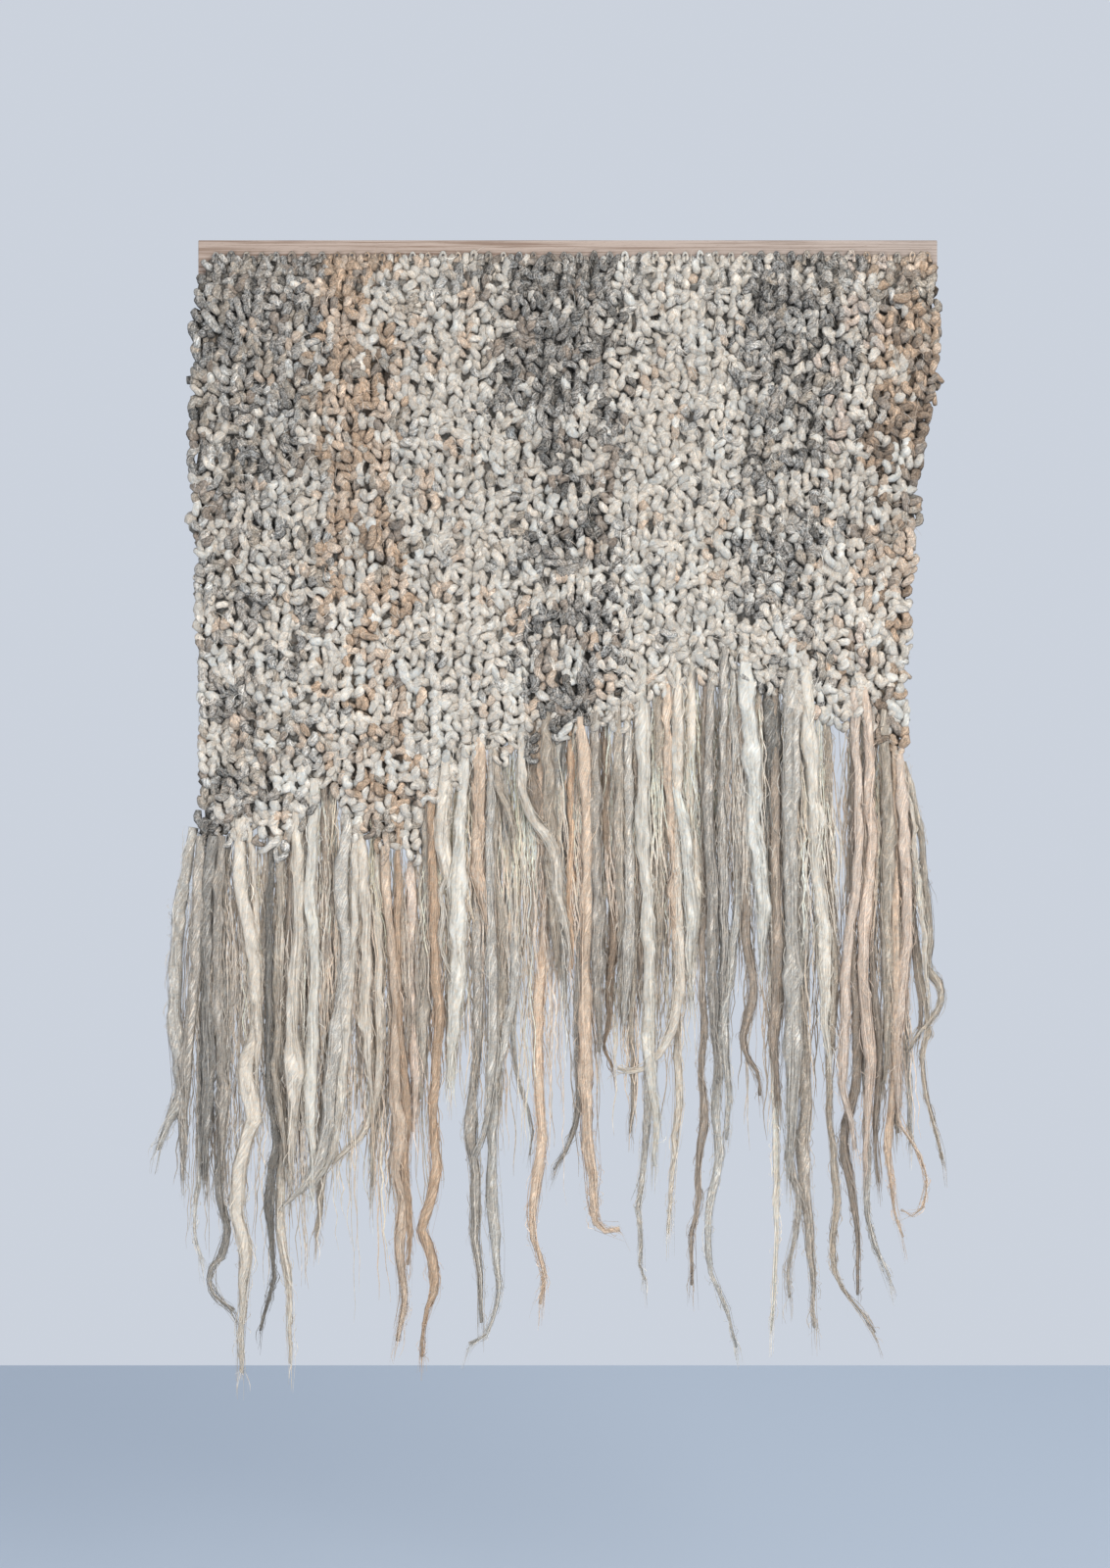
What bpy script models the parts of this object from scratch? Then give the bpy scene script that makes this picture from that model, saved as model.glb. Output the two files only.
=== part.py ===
"""Woven wall hanging: a looped and knotted wool body with a long fringe of locks,
hooked on a row of nails along a wooden batten.

Metres, +Z up, +X to the right. The wall is at +Y: the batten's back face lies in the
plane y = 0, with its middle at the origin, and all the wool hangs on the -Y side.
"""
import math
import random

import bpy

# ---------------------------------------------------------------- driving dimensions
BOARD_LENGTH = 0.900
BOARD_HEIGHT = 0.050
BOARD_THICKNESS = 0.018
BOARD_EDGE_ROUND = 0.0008

PIN_COUNT = 48
PIN_PITCH = 0.0184
FIRST_PIN_X = -0.4275
PIN_Z = 0.0050
PIN_RADIUS = 0.0008
PIN_HEAD_RADIUS = 0.0016
PIN_HEAD_THICKNESS = 0.0008
PIN_BITE = 0.0080
PIN_SIDES = 8

GAP = 0.0003
EDGE_CLEARANCE = 0.0020
EYELET_RADIUS = 0.0012

HEADING_TOP = 0.0105
HEADING_HEIGHT = 0.0135
HEADING_THICKNESS = 0.0070
PANEL_ROWS = 25
PANEL_THICKNESS = 0.0220
HEM_THICKNESS = 0.0185
SWELL_DEPTH = 0.0022
KNOT_RELIEF = 0.0034
RAGGED_SIDE = 0.0040
RAGGED_TOP = 0.0012
WALL_SIDE_REST = -0.0115
EASE_START = -0.030
EASE_END = -0.085

COMB_SPINE_HEIGHT = 0.014
COMB_DROP_GAP = 0.0012
LOCK_RINGS = 10
LOCK_DEPTH = 0.0085
LOCK_WAVE = 0.0030
LOCK_NECK_SHARE = 0.74

# The two side edges of the body: height, left edge, right edge.
SIDES = [
    # z,      left,    right
    (0.011, -0.4367, 0.4465),
    (-0.040, -0.4530, 0.4450),
    (-0.160, -0.4550, 0.4465),
    (-0.220, -0.4545, 0.4290),
    (-0.350, -0.4525, 0.4225),
    (-0.430, -0.4465, 0.4130),
    (-0.535, -0.4465, 0.4105),
    (-0.610, -0.4465, 0.4085),
    (-0.640, -0.4570, 0.4090),
    (-0.700, -0.4630, 0.4090),
]

# The body's lower edge, from left to right: where it turns, and how low it is there.
LOWER_EDGE = [
    # x,      z
    (-0.463, -0.690),
    (-0.437, -0.716),
    (-0.392, -0.684),
    (-0.370, -0.688),
    (-0.354, -0.724),
    (-0.332, -0.682),
    (-0.303, -0.637),
    (-0.279, -0.655),
    (-0.260, -0.712),
    (-0.242, -0.679),
    (-0.224, -0.728),
    (-0.209, -0.698),
    (-0.192, -0.739),
    (-0.173, -0.645),
    (-0.146, -0.620),
    (-0.121, -0.570),
    (-0.097, -0.612),
    (-0.083, -0.584),
    (-0.069, -0.606),
    (-0.040, -0.561),
    (0.020, -0.566),
    (0.048, -0.554),
    (0.075, -0.580),
    (0.090, -0.507),
    (0.111, -0.521),
    (0.137, -0.497),
    (0.172, -0.518),
    (0.191, -0.480),
    (0.216, -0.506),
    (0.234, -0.529),
    (0.286, -0.522),
    (0.313, -0.576),
    (0.329, -0.536),
    (0.352, -0.540),
    (0.380, -0.580),
    (0.409, -0.625),
]

# The fringe's locks: the column of loops each hangs from, where it is a third and two
# thirds of the way down, its tip, its width, and whether it hangs in the front layer.
LOCKS = [
    # column, upper, lower, tip_x, tip_z, width, front
    (0, -0.482, -0.472, -0.492, -1.072, 0.011, 1),
    (1, -0.449, -0.451, -0.445, -1.213, 0.016, 0),
    (2, -0.420, -0.416, -0.404, -1.274, 0.015, 1),
    (3, -0.382, -0.392, -0.397, -1.350, 0.018, 0),
    (4, -0.356, -0.358, -0.374, -1.301, 0.014, 1),
    (5, -0.352, -0.354, -0.350, -1.190, 0.011, 0),
    (6, -0.329, -0.337, -0.318, -1.324, 0.019, 0),
    (7, -0.311, -0.309, -0.306, -1.071, 0.013, 1),
    (8, -0.290, -0.285, -0.292, -1.100, 0.012, 0),
    (9, -0.278, -0.283, -0.300, -1.144, 0.013, 1),
    (10, -0.246, -0.242, -0.241, -0.976, 0.014, 0),
    (11, -0.232, -0.235, -0.240, -1.129, 0.012, 1),
    (12, -0.200, -0.209, -0.207, -1.291, 0.018, 0),
    (14, -0.185, -0.181, -0.185, -1.160, 0.012, 1),
    (15, -0.160, -0.168, -0.178, -1.322, 0.017, 0),
    (16, -0.144, -0.152, -0.142, -1.005, 0.010, 1),
    (17, -0.123, -0.136, -0.144, -0.999, 0.018, 0),
    (18, -0.117, -0.110, -0.105, -1.279, 0.014, 1),
    (19, -0.085, -0.102, -0.123, -1.336, 0.015, 0),
    (20, -0.075, -0.070, -0.074, -1.060, 0.012, 1),
    (21, -0.041, -0.016, 0.005, -0.821, 0.012, 1),
    (22, -0.036, -0.033, -0.033, -1.272, 0.017, 0),
    (24, -0.009, -0.002, -0.018, -1.106, 0.017, 0),
    (25, 0.021, 0.016, 0.013, -0.980, 0.011, 1),
    (26, 0.022, 0.032, 0.065, -1.179, 0.017, 0),
    (27, 0.049, 0.052, 0.051, -0.892, 0.012, 1),
    (29, 0.072, 0.079, 0.080, -1.041, 0.011, 0),
    (30, 0.098, 0.096, 0.089, -1.217, 0.013, 1),
    (31, 0.122, 0.124, 0.117, -1.172, 0.014, 0),
    (32, 0.148, 0.148, 0.143, -0.917, 0.014, 1),
    (33, 0.158, 0.160, 0.150, -1.240, 0.014, 0),
    (34, 0.180, 0.174, 0.205, -1.301, 0.015, 1),
    (35, 0.204, 0.202, 0.200, -1.065, 0.010, 0),
    (36, 0.228, 0.221, 0.231, -1.024, 0.012, 0),
    (37, 0.231, 0.235, 0.238, -0.865, 0.018, 1),
    (38, 0.259, 0.256, 0.251, -1.294, 0.014, 1),
    (39, 0.272, 0.276, 0.273, -1.267, 0.018, 0),
    (40, 0.303, 0.313, 0.317, -0.958, 0.019, 1),
    (41, 0.297, 0.300, 0.305, -1.301, 0.014, 0),
    (42, 0.325, 0.332, 0.375, -1.300, 0.015, 0),
    (43, 0.338, 0.343, 0.353, -1.243, 0.014, 1),
    (44, 0.364, 0.370, 0.378, -1.116, 0.013, 0),
    (45, 0.383, 0.381, 0.393, -1.232, 0.014, 1),
    (46, 0.395, 0.398, 0.405, -1.191, 0.016, 0),
    (47, 0.438, 0.431, 0.455, -1.093, 0.014, 1),
]

# ------------------------------------------------------------------- small arithmetic
def lerp(a, b, t):
    return a + (b - a) * t


def read_table(rows, key, column):
    """Straight-line reading of a table whose first column runs one way."""
    ordered = sorted(rows)
    if key <= ordered[0][0]:
        return ordered[0][column]
    for low, high in zip(ordered, ordered[1:]):
        if key <= high[0]:
            return lerp(low[column], high[column], (key - low[0]) / (high[0] - low[0]))
    return ordered[-1][column]


def smooth_step(low, high, value):
    t = min(max((value - low) / (high - low), 0.0), 1.0)
    return t * t * (3 - 2 * t)


def cubic_through(values, t):
    """The cubic through four values that are evenly spaced from t = 0 to t = 1."""
    total = 0.0
    for i, value in enumerate(values):
        weight = 1.0
        for j in range(4):
            if j != i:
                weight *= (t * 3 - j) / (i - j)
        total += value * weight
    return total


# ------------------------------------------------------------------- making objects
def clear_scene():
    for item in list(bpy.data.objects):
        bpy.data.objects.remove(item)


def material(name, color, roughness, metallic=0.0):
    made = bpy.data.materials.new(name)
    made.use_nodes = True
    shader = made.node_tree.nodes["Principled BSDF"]
    shader.inputs["Base Color"].default_value = (*color, 1.0)
    shader.inputs["Roughness"].default_value = roughness
    shader.inputs["Metallic"].default_value = metallic
    return made


def mesh_object(name, points, faces, finish):
    mesh = bpy.data.meshes.new(name)
    mesh.from_pydata(points, [], faces)
    mesh.materials.append(finish)
    made = bpy.data.objects.new(name, mesh)
    bpy.context.scene.collection.objects.link(made)
    return made


def cut_with(target, cutter, name):
    cut = target.modifiers.new(name, "BOOLEAN")
    cut.operation = "DIFFERENCE"
    cut.solver = "EXACT"
    cut.object = cutter
    cutter.hide_render = True
    cutter.display_type = "WIRE"


def pin_x(index):
    return FIRST_PIN_X + index * PIN_PITCH


def turned_about_y(profile, sides):
    """Points and faces of a closed body turned about the Y axis.

    profile lists (y, radius) from the wall side to the front.
    """
    points = []
    faces = []
    for y, radius in profile:
        for side in range(sides):
            turn = 2 * math.pi * (side + 0.5) / sides
            points.append((radius * math.cos(turn), y, radius * math.sin(turn)))
    for ring in range(len(profile) - 1):
        for side in range(sides):
            a = ring * sides + side
            b = ring * sides + (side + 1) % sides
            faces.append((a, b, b + sides, a + sides))
    faces.append(tuple(reversed(range(sides))))
    last = (len(profile) - 1) * sides
    faces.append(tuple(range(last, last + sides)))
    return points, faces


def row_of_cylinders(name, radius, back_y, front_y, finish):
    """One mesh of plain cylinders along Y, one at each pin."""
    points = []
    faces = []
    shape, sides = turned_about_y([(back_y, radius), (front_y, radius)], PIN_SIDES)
    for index in range(PIN_COUNT):
        start = len(points)
        points += [(x + pin_x(index), y, z + PIN_Z) for x, y, z in shape]
        faces += [tuple(corner + start for corner in face) for face in sides]
    return mesh_object(name, points, faces, finish)


# ------------------------------------------------------------------ batten and nails
def make_board(wood):
    """The planed batten, with a blind hole for each nail."""
    half_x = BOARD_LENGTH / 2
    half_z = BOARD_HEIGHT / 2
    front = -BOARD_THICKNESS
    points = [(x, y, z) for x in (-half_x, half_x) for y in (front, 0.0) for z in (-half_z, half_z)]
    faces = [(0, 1, 3, 2), (4, 6, 7, 5), (0, 4, 5, 1), (2, 3, 7, 6), (1, 5, 7, 3), (0, 2, 6, 4)]
    board = mesh_object("hanging_board", points, faces, wood)
    arris = board.modifiers.new("planed_arris", "BEVEL")
    arris.width = BOARD_EDGE_ROUND
    arris.segments = 1
    bottom = -BOARD_THICKNESS + PIN_BITE
    holes = row_of_cylinders("nail_holes", PIN_RADIUS + GAP, bottom, front - 0.002, wood)
    cut_with(board, holes, "nail_holes")


def make_pins(steel):
    """Round-headed nails, driven into the batten's front face."""
    tip = -BOARD_THICKNESS + PIN_BITE - GAP
    seat = panel_back(0) - HEADING_THICKNESS - GAP
    profile = [
        (tip, PIN_RADIUS),
        (seat, PIN_RADIUS),
        (seat, PIN_HEAD_RADIUS),
        (seat - PIN_HEAD_THICKNESS, PIN_HEAD_RADIUS),
    ]
    points, faces = turned_about_y(profile, PIN_SIDES)
    shared = mesh_object("pin_01", points, faces, steel)
    shared.location = (pin_x(0), 0.0, PIN_Z)
    for index in range(1, PIN_COUNT):
        pin = bpy.data.objects.new(f"pin_{index + 1:02d}", shared.data)
        pin.location = (pin_x(index), 0.0, PIN_Z)
        bpy.context.scene.collection.objects.link(pin)


# ---------------------------------------------------------------------- knotted body
def panel_back(z):
    """How far the wool's back stands from the wall plane at this height."""
    over_board = -BOARD_THICKNESS - GAP
    clear_of_board = -BOARD_THICKNESS - EDGE_CLEARANCE
    leaving = smooth_step(HEADING_TOP - HEADING_HEIGHT, EASE_START, z)
    easing = smooth_step(EASE_START, EASE_END, z)
    return lerp(lerp(over_board, clear_of_board, leaving), WALL_SIDE_REST, easing)


def column_x(line, z):
    left = read_table(SIDES, z, 1)
    right = read_table(SIDES, z, 2)
    return lerp(left, right, line / PIN_COUNT)


def column_bottom(line):
    settled = column_x(line, LOWER_EDGE[0][1])
    return read_table(LOWER_EDGE, settled, 1)


def swell(x, z):
    """The slow, uneven rise and fall of the body's face."""
    broad = math.sin(17 * x + 9 * z + 0.6) * math.cos(11 * z - 5 * x)
    narrow = 0.6 * math.sin(41 * x - 23 * z + 1.9)
    return SWELL_DEPTH * (broad + narrow)


def uneven_field(seed):
    """One number from -1 to 1 for each crossing of the body's grid."""
    draw = random.Random(seed)
    return [[draw.uniform(-1, 1) for _ in range(PIN_COUNT + 1)] for _ in range(PANEL_ROWS + 1)]


KNOTS = uneven_field(11)
RAGGED = uneven_field(23)


def panel_front(x, z, fall, knot):
    """The face of the wool: knots on a slowly uneven surface."""
    growing = smooth_step(0.0, 0.10, fall)
    thinning = smooth_step(0.88, 1.0, fall)
    thickness = lerp(HEADING_THICKNESS, lerp(PANEL_THICKNESS, HEM_THICKNESS, thinning), growing)
    uneven = (swell(x, z) + KNOT_RELIEF * knot) * growing * (1 - thinning)
    return panel_back(z) - thickness - uneven


def panel_point(row, line):
    """Back and front points of one crossing of the body's grid."""
    if row == 0:
        z = HEADING_TOP + RAGGED_TOP * RAGGED[row][line]
        fall = 0.0
    else:
        fall = (row - 1) / (PANEL_ROWS - 1)
        z = lerp(HEADING_TOP - HEADING_HEIGHT, column_bottom(line), fall)
    x = column_x(line, z)
    if line in (0, PIN_COUNT) and 0 < row < PANEL_ROWS:
        x += RAGGED_SIDE * RAGGED[row][line]
    return (x, panel_back(z), z), (x, panel_front(x, z, fall, KNOTS[row][line]), z)


def make_panel(wool):
    lines = PIN_COUNT + 1
    rows = PANEL_ROWS + 1
    points = []
    for row in range(rows):
        for line in range(lines):
            points.extend(panel_point(row, line))

    def back(row, line):
        return 2 * (row * lines + line)

    def front(row, line):
        return back(row, line) + 1

    faces = []
    for row in range(rows - 1):
        for line in range(lines - 1):
            for side, order in ((front, 1), (back, -1)):
                ring = [side(row, line), side(row + 1, line), side(row + 1, line + 1), side(row, line + 1)]
                faces.append(tuple(ring[::order]))
        for line, order in ((0, 1), (lines - 1, -1)):
            ring = [back(row, line), back(row + 1, line), front(row + 1, line), front(row, line)]
            faces.append(tuple(ring[::order]))
    for line in range(lines - 1):
        for row, order in ((0, 1), (rows - 1, -1)):
            ring = [front(row, line), front(row, line + 1), back(row, line + 1), back(row, line)]
            faces.append(tuple(ring[::order]))
    panel = mesh_object("knotted_panel", points, faces, wool)
    eyelets = row_of_cylinders("heading_eyelets", EYELET_RADIUS, -0.010, -0.040, wool)
    cut_with(panel, eyelets, "heading_eyelets")


# ---------------------------------------------------------------------------- fringe
def lock_path(lock, start, t):
    """Where a lock's middle is at a share t of its length."""
    column, upper, lower, tip_x, tip_z, width, front = lock
    x = cubic_through((start[0], upper, lower, tip_x), t)
    wave = LOCK_WAVE * math.sin(2 * math.pi * (2.5 * t + 0.37 * column)) * math.sin(math.pi * t)
    return x + wave, lerp(start[1], tip_z, t)


def lock_girth(t):
    """A lock leaves its knot narrow, fills out, and thins to a wisp."""
    filled = 0.80 + 0.20 * smooth_step(0.0, 0.25, t)
    return filled * (1 - 0.72 * smooth_step(0.55, 1.0, t))


def make_comb(wool):
    """One comb: a spine along the body's lower edge, and a tooth for each lock."""
    points = []
    faces = []
    feet = []
    lines = PIN_COUNT + 1
    for line in range(lines):
        (x, back, z), (_, front, _) = panel_point(PANEL_ROWS, line)
        top = z - COMB_DROP_GAP
        foot = top - COMB_SPINE_HEIGHT
        feet.append(foot)
        points += [(x, back, top), (x, front, top)]
        points += [(x, back, foot), (x, (back + front) / 2, foot), (x, front, foot)]

    def top_back(line):
        return 5 * line

    def top_front(line):
        return 5 * line + 1

    def foot(line, layer):
        return 5 * line + 2 + layer

    roots = {lock[0]: lock for lock in LOCKS}
    for line in range(lines - 1):
        after = line + 1
        faces.append((top_front(line), top_front(after), top_back(after), top_back(line)))
        faces.append((top_front(line), foot(line, 2), foot(after, 2), top_front(after)))
        faces.append((top_back(after), foot(after, 0), foot(line, 0), top_back(line)))
        for layer in (0, 1):
            root = [foot(line, layer), foot(after, layer), foot(after, layer + 1), foot(line, layer + 1)]
            if line in roots and roots[line][6] == layer:
                neighbours = feet[max(line - 1, 0):line + 3]
                hang_lock(points, faces, root, roots[line], min(neighbours))
            else:
                faces.append(tuple(root))
    for line, order in ((0, 1), (lines - 1, -1)):
        ring = [top_back(line), foot(line, 0), foot(line, 1), foot(line, 2), top_front(line)]
        faces.append(tuple(ring[::order]))
    mesh_object("fringe_comb", points, faces, wool)


def lock_rings(lock, corners, lowest_neighbour):
    """The rings of one tooth: middle x, height, half width and half depth.

    Its neck stays within its own column until it is clear of the edge beside it.
    """
    neck_x = sum(p[0] for p in corners) / 4
    neck_z = min(sum(p[2] for p in corners) / 4, lowest_neighbour) - 0.004
    column_width = corners[1][0] - corners[0][0]
    neck = min(lock[5] * lock_girth(0), LOCK_NECK_SHARE * column_width) / 2
    rings = [(neck_x, neck_z, neck, LOCK_DEPTH * lock_girth(0) / 2)]
    for ring in range(1, LOCK_RINGS):
        t = ring / (LOCK_RINGS - 1)
        x, z = lock_path(lock, (neck_x, neck_z), t)
        rings.append((x, z, lock[5] * lock_girth(t) / 2, LOCK_DEPTH * lock_girth(t) / 2))
    return rings


def hang_lock(points, faces, root, lock, lowest_neighbour):
    """Grow one tooth down from the four spine corners named in root."""
    corners = [points[index] for index in root]
    middle_y = sum(p[1] for p in corners) / 4
    previous = root
    for x, z, half_x, half_y in lock_rings(lock, corners, lowest_neighbour):
        first = len(points)
        points += [
            (x - half_x, middle_y + half_y, z),
            (x + half_x, middle_y + half_y, z),
            (x + half_x, middle_y - half_y, z),
            (x - half_x, middle_y - half_y, z),
        ]
        current = [first, first + 1, first + 2, first + 3]
        for side in range(4):
            beside = (side + 1) % 4
            faces.append((previous[side], previous[beside], current[beside], current[side]))
        previous = current
    faces.append(tuple(previous))


# ---------------------------------------------------------------------------- build
def main():
    clear_scene()
    wood = material("pine", (0.74, 0.57, 0.42), 0.62)
    steel = material("nail_steel", (0.30, 0.29, 0.28), 0.45, 0.9)
    wool = material("wool", (0.66, 0.60, 0.53), 0.95)
    locks = material("wool_locks", (0.71, 0.62, 0.52), 0.95)
    make_board(wood)
    make_pins(steel)
    make_panel(wool)
    make_comb(locks)


main()
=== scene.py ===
# %% [markdown]
# # A wall hanging of looped wool
# The real piece is a planed wooden batten with a row of nails. A thick, uneven fabric of
# looped and knotted wool hooks on the nails, and unspun locks hang from its lower edge.
# The construction comes in as a fixed frame. This lesson adds what the eye sees: more
# than five thousand plump stitches, the locks and their loose fibres, and a finish for
# each material.

# %% Load the frame
import math

import bpy
import numpy as np
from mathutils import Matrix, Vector


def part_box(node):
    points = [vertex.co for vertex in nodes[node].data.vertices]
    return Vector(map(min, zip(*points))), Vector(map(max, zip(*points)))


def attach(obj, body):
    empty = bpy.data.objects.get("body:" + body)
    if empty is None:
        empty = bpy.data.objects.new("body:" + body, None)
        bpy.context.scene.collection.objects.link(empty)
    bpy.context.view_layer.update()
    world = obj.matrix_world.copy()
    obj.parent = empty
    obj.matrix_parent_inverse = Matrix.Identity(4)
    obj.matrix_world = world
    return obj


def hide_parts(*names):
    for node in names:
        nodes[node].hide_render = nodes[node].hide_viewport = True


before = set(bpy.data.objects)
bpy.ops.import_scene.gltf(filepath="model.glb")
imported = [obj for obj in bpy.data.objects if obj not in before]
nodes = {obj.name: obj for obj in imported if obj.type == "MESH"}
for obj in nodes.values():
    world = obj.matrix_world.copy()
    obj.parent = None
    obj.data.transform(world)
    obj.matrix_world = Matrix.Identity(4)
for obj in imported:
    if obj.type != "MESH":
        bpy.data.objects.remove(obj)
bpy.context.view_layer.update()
BODY = "root"
panel_low, panel_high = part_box("knotted_panel")
comb_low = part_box("fringe_comb")[0]
board_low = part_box("hanging_board")[0]
pin_names = sorted(name for name in nodes if name.startswith("pin_"))
pin_places = [sum(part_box(name), Vector()) / 2 for name in pin_names]
print("nails", len(pin_names), "body", [round(s, 3) for s in panel_high - panel_low])

# %% [markdown]
# ## Camera, light and floor
# The hanging is seen square on, from its own height, so the camera looks level along +Y.
# A large soft lamp up to the right models each stitch, a weaker one low on the left keeps
# the shadows open, a faint one behind lights the loose edges, and a pale sky stands in for
# the pale room.

# %% Camera
LENS = 50.0
SENSOR = 36.0
VIEW_HEIGHT = 1.902
VIEW_CENTRE = (-0.0155, -0.637)
wool_plane = (panel_low.y + panel_high.y) / 2
camera_data = bpy.data.cameras.new("camera")
camera_data.lens = LENS
camera_data.sensor_width = SENSOR
camera = bpy.data.objects.new("camera", camera_data)
distance = VIEW_HEIGHT * LENS / SENSOR
camera.location = (VIEW_CENTRE[0], wool_plane - distance, VIEW_CENTRE[1])
camera.rotation_euler = (math.pi / 2, 0, 0)
scene = bpy.context.scene
scene.collection.objects.link(camera)
scene.camera = camera
scene.view_settings.view_transform = "Standard"
print("camera", round(distance, 2), "m in front of the wool")


# %% Lamps
def area_light(name, place, target, size, power, color):
    data = bpy.data.lights.new(name, "AREA")
    data.shape = "DISK"
    data.size = size
    data.energy = power
    data.color = color
    lamp = bpy.data.objects.new(name, data)
    lamp.location = place
    lamp.rotation_euler = (Vector(target) - Vector(place)).to_track_quat("-Z", "Y").to_euler()
    scene.collection.objects.link(lamp)


middle = (0.0, wool_plane, -0.60)
area_light("key", (1.7, -2.5, 0.9), middle, 2.0, 66, (1.0, 0.965, 0.905))
area_light("fill", (-1.7, -2.7, -1.3), middle, 2.2, 27, (1.0, 0.985, 0.96))
area_light("rim", (0.6, 2.4, 1.4), middle, 1.5, 12, (0.95, 0.97, 1.0))

# %% Sky and floor
world = bpy.data.worlds.new("pale_room")
scene.world = world
world.use_nodes = True
sky = world.node_tree.nodes["Background"]
sky.inputs["Color"].default_value = (0.60, 0.645, 0.72, 1)
sky.inputs["Strength"].default_value = 1.0

FLOOR_DROP = 0.40
FLOOR_HALF = (2.4, 1.5)
floor_z = comb_low.z - FLOOR_DROP
FLOOR_SIDES = ((-1, -1), (1, -1), (1, 1), (-1, 1))
corners = [(sx * FLOOR_HALF[0], sy * FLOOR_HALF[1], floor_z) for sx, sy in FLOOR_SIDES]
floor_mesh = bpy.data.meshes.new("floor")
floor_mesh.from_pydata(corners, [], [(0, 1, 2, 3)])
floor = bpy.data.objects.new("floor", floor_mesh)
floor_paint = bpy.data.materials.new("floor_paint")
floor_paint.use_nodes = True
floor_shader = floor_paint.node_tree.nodes["Principled BSDF"]
floor_shader.inputs["Base Color"].default_value = (0.495, 0.56, 0.64, 1)
floor_shader.inputs["Roughness"].default_value = 0.9
floor_mesh.materials.append(floor_paint)
scene.collection.objects.link(floor)
print("floor", FLOOR_DROP, "m below the longest lock")

# %% [markdown]
# ## Shader maths as Python
# A `Wire` wraps one socket of a node tree. Arithmetic on wires adds Math nodes, so a
# pattern can be written as a formula. A `Bench` holds one material, and its `node`
# method makes every other kind of node.


# %% Wires
class Wire:
    """One output socket that can be added, multiplied and so on."""

    def __init__(self, bench, socket):
        self.bench = bench
        self.socket = socket

    def math(self, operation, *others):
        """A Math node on this wire and up to two more values."""
        return self.bench.maths(operation, self, *others)

    def between(self, low, high):
        """0 below low, 1 above high, and a soft step from one to the other."""
        sockets = {"Value": self, "From Min": low, "From Max": high}
        return self.bench.node("ShaderNodeMapRange", {"interpolation_type": "SMOOTHSTEP"}, sockets)


OPERATORS = {"add": "ADD", "sub": "SUBTRACT", "mul": "MULTIPLY", "truediv": "DIVIDE"}
for word, operation in OPERATORS.items():
    setattr(Wire, f"__{word}__", lambda self, other, do=operation: self.math(do, other))
    setattr(Wire, f"__r{word}__", lambda self, other, do=operation: self.bench.maths(do, other, self))
for word, operation in {"sin": "SINE", "cos": "COSINE", "__abs__": "ABSOLUTE"}.items():
    setattr(Wire, word, lambda self, do=operation: self.math(do))


# %% Benches
class Bench:
    """One material and its node tree."""

    def __init__(self, name):
        self.material = bpy.data.materials.new(name)
        self.material.use_nodes = True
        self.tree = self.material.node_tree
        self.shader = self.tree.nodes["Principled BSDF"]

    def feed(self, socket, value):
        if isinstance(value, Wire):
            self.tree.links.new(value.socket, socket)
        else:
            socket.default_value = value

    def node(self, kind, settings=None, sockets=None, output=0):
        made = self.tree.nodes.new(kind)
        for key, value in (settings or {}).items():
            setattr(made, key, value)
        for key, value in (sockets or {}).items():
            self.feed(made.inputs[key], value)
        return Wire(self, made.outputs[output])

    def maths(self, operation, *values):
        return self.node("ShaderNodeMath", {"operation": operation}, dict(enumerate(values)))

    def noise(self, place, scale, detail=2.0, rough=0.5):
        sockets = {"Vector": place, "Scale": scale, "Detail": detail, "Roughness": rough}
        return self.node("ShaderNodeTexNoise", {}, sockets)

    def mix(self, share, first, second, blend="MIX"):
        settings = {"data_type": "RGBA", "blend_type": blend}
        return self.node("ShaderNodeMix", settings, {0: share, 6: first, 7: second}, output=2)

    def vector(self, x, y, z):
        return self.node("ShaderNodeCombineXYZ", {}, {"X": x, "Y": y, "Z": z})

    def part(self, vector, axis):
        return self.node("ShaderNodeSeparateXYZ", {}, {"Vector": vector}, output=axis)

    def place(self):
        """The place on the object, in metres."""
        return self.node("ShaderNodeTexCoord", output=3)

    def bump(self, height, strength, reach):
        return self.node("ShaderNodeBump", {}, {"Height": height, "Strength": strength, "Distance": reach})

    def set(self, **values):
        for key, value in values.items():
            self.feed(self.shader.inputs[key.replace("_", " ")], value)


# %% [markdown]
# ## The wools
# The tones are those of plain fleece: creams, greys and browns, with some warmer blush
# ones. Each has a heather share: how strongly its dark and pale fibres show side by side.
# Grey fleece is very mixed, and cream is nearly even.


# %% Wool colours
def from_screen(*screen):
    """A screen colour, 0 to 255, as the linear light that shaders use."""
    return tuple((v / 255 / 12.92) if v <= 10 else ((v / 255 + 0.055) / 1.055) ** 2.4 for v in screen)


WOOLS = {
    # wool: (screen colour, heather share)
    "white": ((216, 212, 203), 0.20),
    "cream": ((213, 205, 193), 0.28),
    "peach": ((206, 187, 168), 0.38),
    "amber": ((190, 166, 143), 0.44),
    "rose": ((203, 187, 173), 0.40),
    "silver": ((190, 185, 177), 0.50),
    "ash": ((173, 166, 157), 0.55),
    "grey": ((154, 150, 144), 0.62),
    "slate": ((130, 126, 120), 0.64),
    "taupe": ((176, 166, 153), 0.48),
    "tan": ((158, 146, 134), 0.46),
    "brown": ((146, 129, 113), 0.50),
}
TINTS = {name: np.array([*from_screen(*screen), heather]) for name, (screen, heather) in WOOLS.items()}
draw = np.random.default_rng(41)


def varied(wool, spread=0.08):
    """A wool's tint, a little lighter or darker and warmer or cooler each time."""
    value = math.exp(draw.normal(0, spread))
    warmth = draw.normal(0.004, 0.013)
    return TINTS[wool] * (value * (1 + warmth), value, value * (1 - warmth), 1)


def lit(tint, light, heather=1):
    """A tint made lighter or darker, with its heather share scaled."""
    return tint * (light, light, light, heather)


print("wools", ", ".join(WOOLS))

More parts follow.
